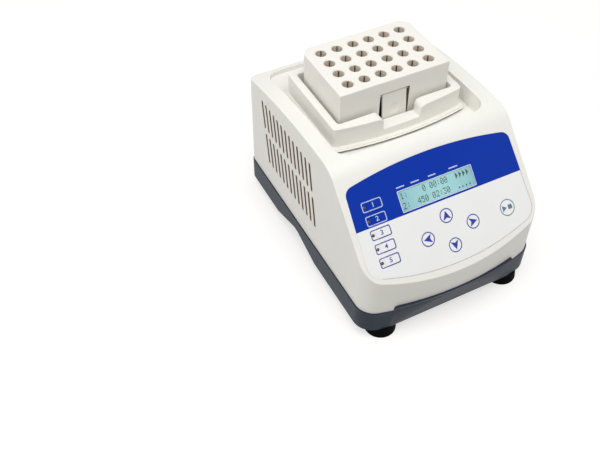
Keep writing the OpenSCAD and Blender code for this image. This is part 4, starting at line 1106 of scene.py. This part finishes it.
def mark_at(points, at, turn=0):
    """A mark given in millimetres, turned and set on a key's middle."""
    c, s = math.cos(math.radians(turn)), math.sin(math.radians(turn))
    return [(at[0] + (x * c - y * s) * mm, at[1] + (x * s + y * c) * mm) for x, y in points]


def number(name, text, at):
    """A plain number as a flat mesh on the panel."""
    clear()
    bpy.ops.object.text_add(location=(at[0], at[1], 0))
    mark = bpy.context.object
    mark.data.body = text
    mark.data.size = number_size
    mark.data.align_x = "CENTER"
    mark.data.align_y = "CENTER"
    mark.data.extrude = number_half_t
    mark.data.offset = number_bold
    bpy.ops.object.convert(target="MESH")
    mark = settled(bpy.context.object)
    mark.name = name
    mark.data.transform(Matrix.Translation((0, 0, print_t - number_half_t)))
    return mark


for name in key_names:
    at, outline = key_outline(name)
    body = f"key_{name}"
    face = slab(f"{body}_face", outline(key_gap), -film, 0)
    soften(face, sharp_above(-hair), key_edge_r, 2)
    stem = slab("stem", ring(at, stem_r, 24), *stem_w)
    key = set_on_panel(join(f"{body}_face", [face, stem]))
    if name in blue_presets:
        give(key, body, blue_film, "panel_film", body)
    else:
        give(key, body, white_film, "key_film", body)
    if name in arrow_keys:
        rim = line(f"{body}_ring", *map(outline, key_line_insets))
        head = patch("head", mark_at(arrow_head, at, arrow_keys[name][2]))
        ink(join(f"{body}_print", [rim, head]), body, navy_ink)
    elif name == "start":
        rim = line(f"{body}_ring", *map(outline, start_line_insets))
        play = patch("play", mark_at(play_mark, at))
        stop = patch("stop", round_rect((stop_mark, stop_mark), stop_r, (at[0] + stop_u, at[1]), 3))
        ink(join(f"{body}_print", [rim, play, stop]), body, grey_ink)

for name, v in zip(preset_names, preset_vs):
    ink(number(f"{name}_number", name[-1], (number_u, v)), f"key_{name}", preset_ink(name))

# Lamps
clear()
bpy.ops.mesh.primitive_cylinder_add(vertices=24, radius=lamp_r, depth=lamp_l, location=(0, 0, lamp_w))
lamp = settled(bpy.context.object)
soften(lamp, sharp_above(lamp_w), lamp_dome_r, 4)
lamps = repeat(lamp, "preset_lamps", shifts((lamp_u, v) for v in preset_vs))
give(set_on_panel(lamps), "housing", lamp_finish, "lamp_amber", "indicator_leds")

# Display
glass = window_outline(-hair, window_r - hair)
screen = slab("display_screen", glass, *screen_w)
soften(screen, sharp_above(screen_w[1] - hair), screen_edge_r, 2)
give(set_on_panel(screen), "housing", screen_finish, "display_glass")
pane = slab("display_pane", glass, *pane_w)
soften(pane, sharp_above(pane_w[1] - hair), pane_edge_r, 2)
give(set_on_panel(pane), "housing", pane_finish, "window_clear", "display_window")

lit_dots = []
for text, v in display_rows:
    for cell, letter in enumerate(text):
        for row, bits in enumerate(dot_glyphs.get(letter, "").split()):
            for column, bit in enumerate(bits):
                if bit == "1":
                    lit_dots.append((dot_left + cell * cell_pitch + column * dot_pitch[0],
                                     v + (3 - row) * dot_pitch[1]))
dot = slab("dot", round_rect(dot_size, dot_r, (0, 0), 1), *dot_w)
ink(repeat(dot, "display_dots", shifts(lit_dots)), "housing", dark_ink, "display_glass")


# Tray


def finger_notch():
    """The notch in the tray's front wall, with a flat sill and round shoulders."""
    shoulder_x, shoulder_z, top = notch_half + notch_r, tray_rim - notch_r, tray_rim + past
    points = [(-notch_half, notch_low), (notch_half, notch_low)]
    points += arc((shoulder_x, shoulder_z), notch_r, 180, 90, 8)
    points += [(shoulder_x, top), (-shoulder_x, top)]
    points += arc((-shoulder_x, shoulder_z), notch_r, 90, 0, 8)
    return slab("notch", points, -past, past - tray_front, front_turn)


tray = slab("tray_shell", flange_outline(0), flange_low, flange_low + flange_step)
soften(tray, sharp, flange_edge_r, 2)
flange_top = flange_low + 2 * flange_step
ledge = slab("ledge", flange_outline(flange_ledge), flange_low + flange_step / 2, flange_top)
soften(ledge, sharp_above(flange_top - hair), flange_ledge_r, 2)
carve(tray, ledge, "UNION")
tray_plan = bowed_outline(tray_half, tray_rear, tray_front, flange_bow - flange_reach, tray_r, tray_r, 8)
walls = slab("walls", tray_plan, flange_low + flange_step / 2, tray_rim)
carve(walls, slab("inside", round_rect(tray_in, tray_in_r, (0, tray_y)), tray_floor, tray_rim + past))
carve(walls, finger_notch())
carve(walls, join("grooves", [box("groove", lug_groove, x) for x in lug_xs]))
soften(walls, sharp_above(tray_floor + 3 * hair), tray_rim_r, 4)
carve(tray, walls, "UNION")
under = round_rect(tray_in, tray_r, (0, tray_y))
carve(tray, slab("under", under, flange_low - past, tray_floor - tray_floor_t))
tray_screws = shifts((x, tray_y) for x in tray_screw_xs)
head = slab("head", ring((0, 0), tray_head_r, 24), tray_floor - tray_head_deep, tray_floor + past)
carve(tray, repeat(head, "heads", tray_screws))
hole = slab("hole", ring((0, 0), tray_screw_r, 16), tray_floor - past, tray_floor)
carve(tray, repeat(hole, "holes", tray_screws))
carve(tray, box("catch", latch_catch))
close_up(tray)
give(tray, "tray", tray_finish, "tray_plastic", "shaker_tray")
# The underside of the flange is painted in dark shade, as a shadow line beneath it
paint_shade(tray, painted_dark_shade, lambda at, n: at.z < flange_low + 3 * hair and n.z < -0.2)


# Tube block


def block_outline(inset):
    w = block_half - inset
    c = block_chamfer - inset * (2 - math.sqrt(2))
    front, rear = block_front + inset, block_rear - inset
    return [(-w, front), (w, front), (w, rear - c), (w - c, rear), (c - w, rear), (-w, rear - c)]


def block_share(edge):
    at = middle(edge)
    if not sharp(edge) or not edge.is_convex or at.z < block_low + 2 * hair:
        return 0
    return 1 if at.z > block_high - hair or abs(at.x) > block_half - block_chamfer - mm else 0


def from_well(at):
    """How far a point lies from the axis of the nearest well."""
    return min(math.hypot(at.x - x, at.y - y) for x, y in wells)


def in_well(at, n):
    return at.z < block_high - well_chamfer - hair / 2 and from_well(at) < well_r + hair / 2


def in_slit(at, n):
    slit_n = Vector((-math.sin(slit_angle), math.cos(slit_angle), 0))
    return abs(n.dot(slit_n)) > 0.95 and well_r + hair / 2 < from_well(at) < slit_half[0] + hair


def in_recess(at):
    return (abs(at.x) < recess_half + hair and at.z < recess_shade_top
            and 3 * hair < at.y - block_front < recess_deep + 2 * hair)


def recess_back(face):
    at = face.calc_center_median()
    return (face.normal.y < -0.9 and abs(at.x) < recess_half
            and abs(at.y - block_front - recess_deep) < mm)


well_places = shifts(wells)
block = slab("tube_block_body", block_outline(0), block_low, block_high)
carve(block, box("latch_recess", latch_recess))
soften(block, block_share, block_edge_r, 4)
cavity = slab("cavity", block_outline(block_wall), block_low - past, block_high - block_roof)
socket = slab("socket", ring((0, 0), socket_r, 28), well_low - socket_floor_t, block_high)
carve(cavity, repeat(socket, "sockets", well_places))
carve(cavity, box("latch_liner", latch_liner))
carve(block, cavity)
well = slab("well", ring((0, 0), well_r, 36), well_low, block_high - well_chamfer)
pick(well, faces_up)
bpy.ops.mesh.extrude_region_move(TRANSFORM_OT_translate={"value": (0, 0, well_chamfer + well_flare_h)})
bpy.ops.transform.resize(value=(well_flare, well_flare, 1), center_override=(0, 0, block_high))
leave()
carve(block, repeat(well, "wells", well_places))
slit_plan = [(sx * slit_half[0], sy * slit_half[1]) for sx, sy in ((-1, -1), (1, -1), (1, 1), (-1, 1))]
slit = slab("slit", slit_plan, slit_low, slit_high, Matrix.Rotation(slit_angle, 4, "Z"))
carve(block, repeat(slit, "slits", well_places))
carve(block, join("lugs", [box("lug", block_lug, x) for x in lug_xs]), "UNION")
# The recess's back wall is split at this height so that its painted shade stops there
pick(block, recess_back)
bpy.ops.mesh.bisect(plane_co=(0, 0, recess_shade_top), plane_no=(0, 0, 1), threshold=cut_tolerance)
close_up(block)
give(block, "block", block_finish, "block_plastic", "tube_block")
# The walls of the wells are painted in shade
paint_shade(block, painted_well_shade, in_well)
# The slits and the inside of the latch recess are painted in dark shade
paint_shade(block, painted_dark_shade, lambda at, n: in_slit(at, n) or in_recess(at) and n.x > -0.5)
# The latch recess's right cheek is painted in brown shade
paint_shade(block, painted_brown_shade, lambda at, n: in_recess(at) and n.x < -0.5)

# Latch, made upright about its pin and then leant
latch_back = latch_size[1] - latch_barrel_r
latch_side = [(latch_back, -latch_h), (latch_back, 0)]
latch_side += arc((0, 0), latch_barrel_r, 0, 180, 12)
latch_side += [(-latch_barrel_r, nose_root - latch_h), (-nose_out, nose_h - latch_h), (-nose_out, -latch_h)]
latch = slab("latch_plate", latch_side, -latch_size[0] / 2, latch_size[0] / 2, across_turn)
soften(latch, lambda edge: sharp(edge, latch_sharp_angle), latch_edge_r)
carve(latch, slab("bore", ring((0, 0), latch_bore_r, 24), -latch_size[0], latch_size[0], across_turn))
clear()
bpy.ops.mesh.primitive_uv_sphere_add(segments=96, ring_count=64, radius=dimple_ball,
                                     location=(0, dimple_deep - dimple_ball - latch_barrel_r, -dimple_down))
carve(latch, settled(bpy.context.object))
latch.data.transform(Matrix.Translation(latch_at) @ Matrix.Rotation(-latch_lean, 4, "X"))
close_up(latch)
give(latch, "latch", latch_finish, "latch_plastic", "block_latch")

# Rear connections
for node, body, finish, slot_name in (
        ("power_inlet", "housing", black_finish, "black_plastic"),
        ("power_switch_body", "housing", black_finish, "black_plastic"),
        ("power_rocker", "rocker", rocker_finish, "rocker_red")):
    part = copy_of(node, f"{node}_soft")
    soften(part, lambda edge: sharp(edge) and edge.is_convex, rear_edge_r, 2)
    give(close_up(part), body, finish, slot_name, node)

# Solids that keep their shape
for finish, nodes in {
    steel_finish: ("foot_screws", "housing_screws", "panel_screws", "board_screws", "chassis_screws",
                   "motor_screws", "tray_screws", "crank_set_screw", "latch_pin", "motor_shaft",
                   "drive_crank", "idler_crank_1", "idler_crank_2", "idler_crank_3", "idler_crank_4",
                   "drive_bearing", "idler_bearings"),
    brass_finish: ("board_standoffs", "idler_bushes", "counterweight"),
    plate_finish: ("chassis_plate",),
    motor_finish: ("motor",),
    alloy_finish: ("platform_plate",),
    board_finish: ("lcd_module", "keypad_board", "control_board", "power_supply_board"),
    black_finish: ("tact_switches",),
}.items():
    for node in nodes:
        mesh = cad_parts[node].data
        mesh.materials.clear()
        mesh.materials.append(finish)

# Floor
clear()
bpy.ops.mesh.primitive_plane_add(size=floor_size, location=(0, 0, 0))
floor = bpy.context.object
floor.name = "floor"
ground = Finish("floor_white")
lit = ground.node("ShaderNodeBsdfDiffuse", {}, {"Color": floor_tone})
strength = floor_glow * ground.background_rays()
glow = ground.node("ShaderNodeEmission", {}, {"Color": white, "Strength": strength})
shine = ground.node("ShaderNodeAddShader", {}, {0: lit, 1: glow})
floor.data.materials.append(ground.finished(shine))

# Light
scene = bpy.context.scene
scene.world = bpy.data.worlds.new("studio")
scene.world.use_nodes = True
sky = Sheet(scene.world.node_tree)
ambient = sky.node("ShaderNodeBackground", {}, {"Color": ambient_tone, "Strength": ambient_level})
backdrop = sky.node("ShaderNodeBackground", {}, {"Color": white})
shown = sky.node("ShaderNodeMixShader", {}, {0: sky.background_rays(), 1: ambient, 2: backdrop})
sky.node("ShaderNodeOutputWorld", {}, {"Surface": shown})

for name, (place, target, size, power) in softboxes.items():
    clear()
    bpy.ops.object.light_add(type="AREA", location=place)
    light = bpy.context.object
    light.name = name
    light.data.shape = "RECTANGLE"
    light.data.size, light.data.size_y = size
    light.data.energy = power
    light.rotation_euler = (Vector(target) - Vector(place)).to_track_quat("-Z", "Y").to_euler()

# Camera
bpy.ops.object.camera_add(location=camera_at, rotation=camera_turn)
scene.camera = bpy.context.object
scene.camera.data.sensor_width = camera_sensor
scene.camera.data.lens = camera_lens
scene.camera.data.clip_start = camera_near
scene.view_settings.view_transform = "Standard"
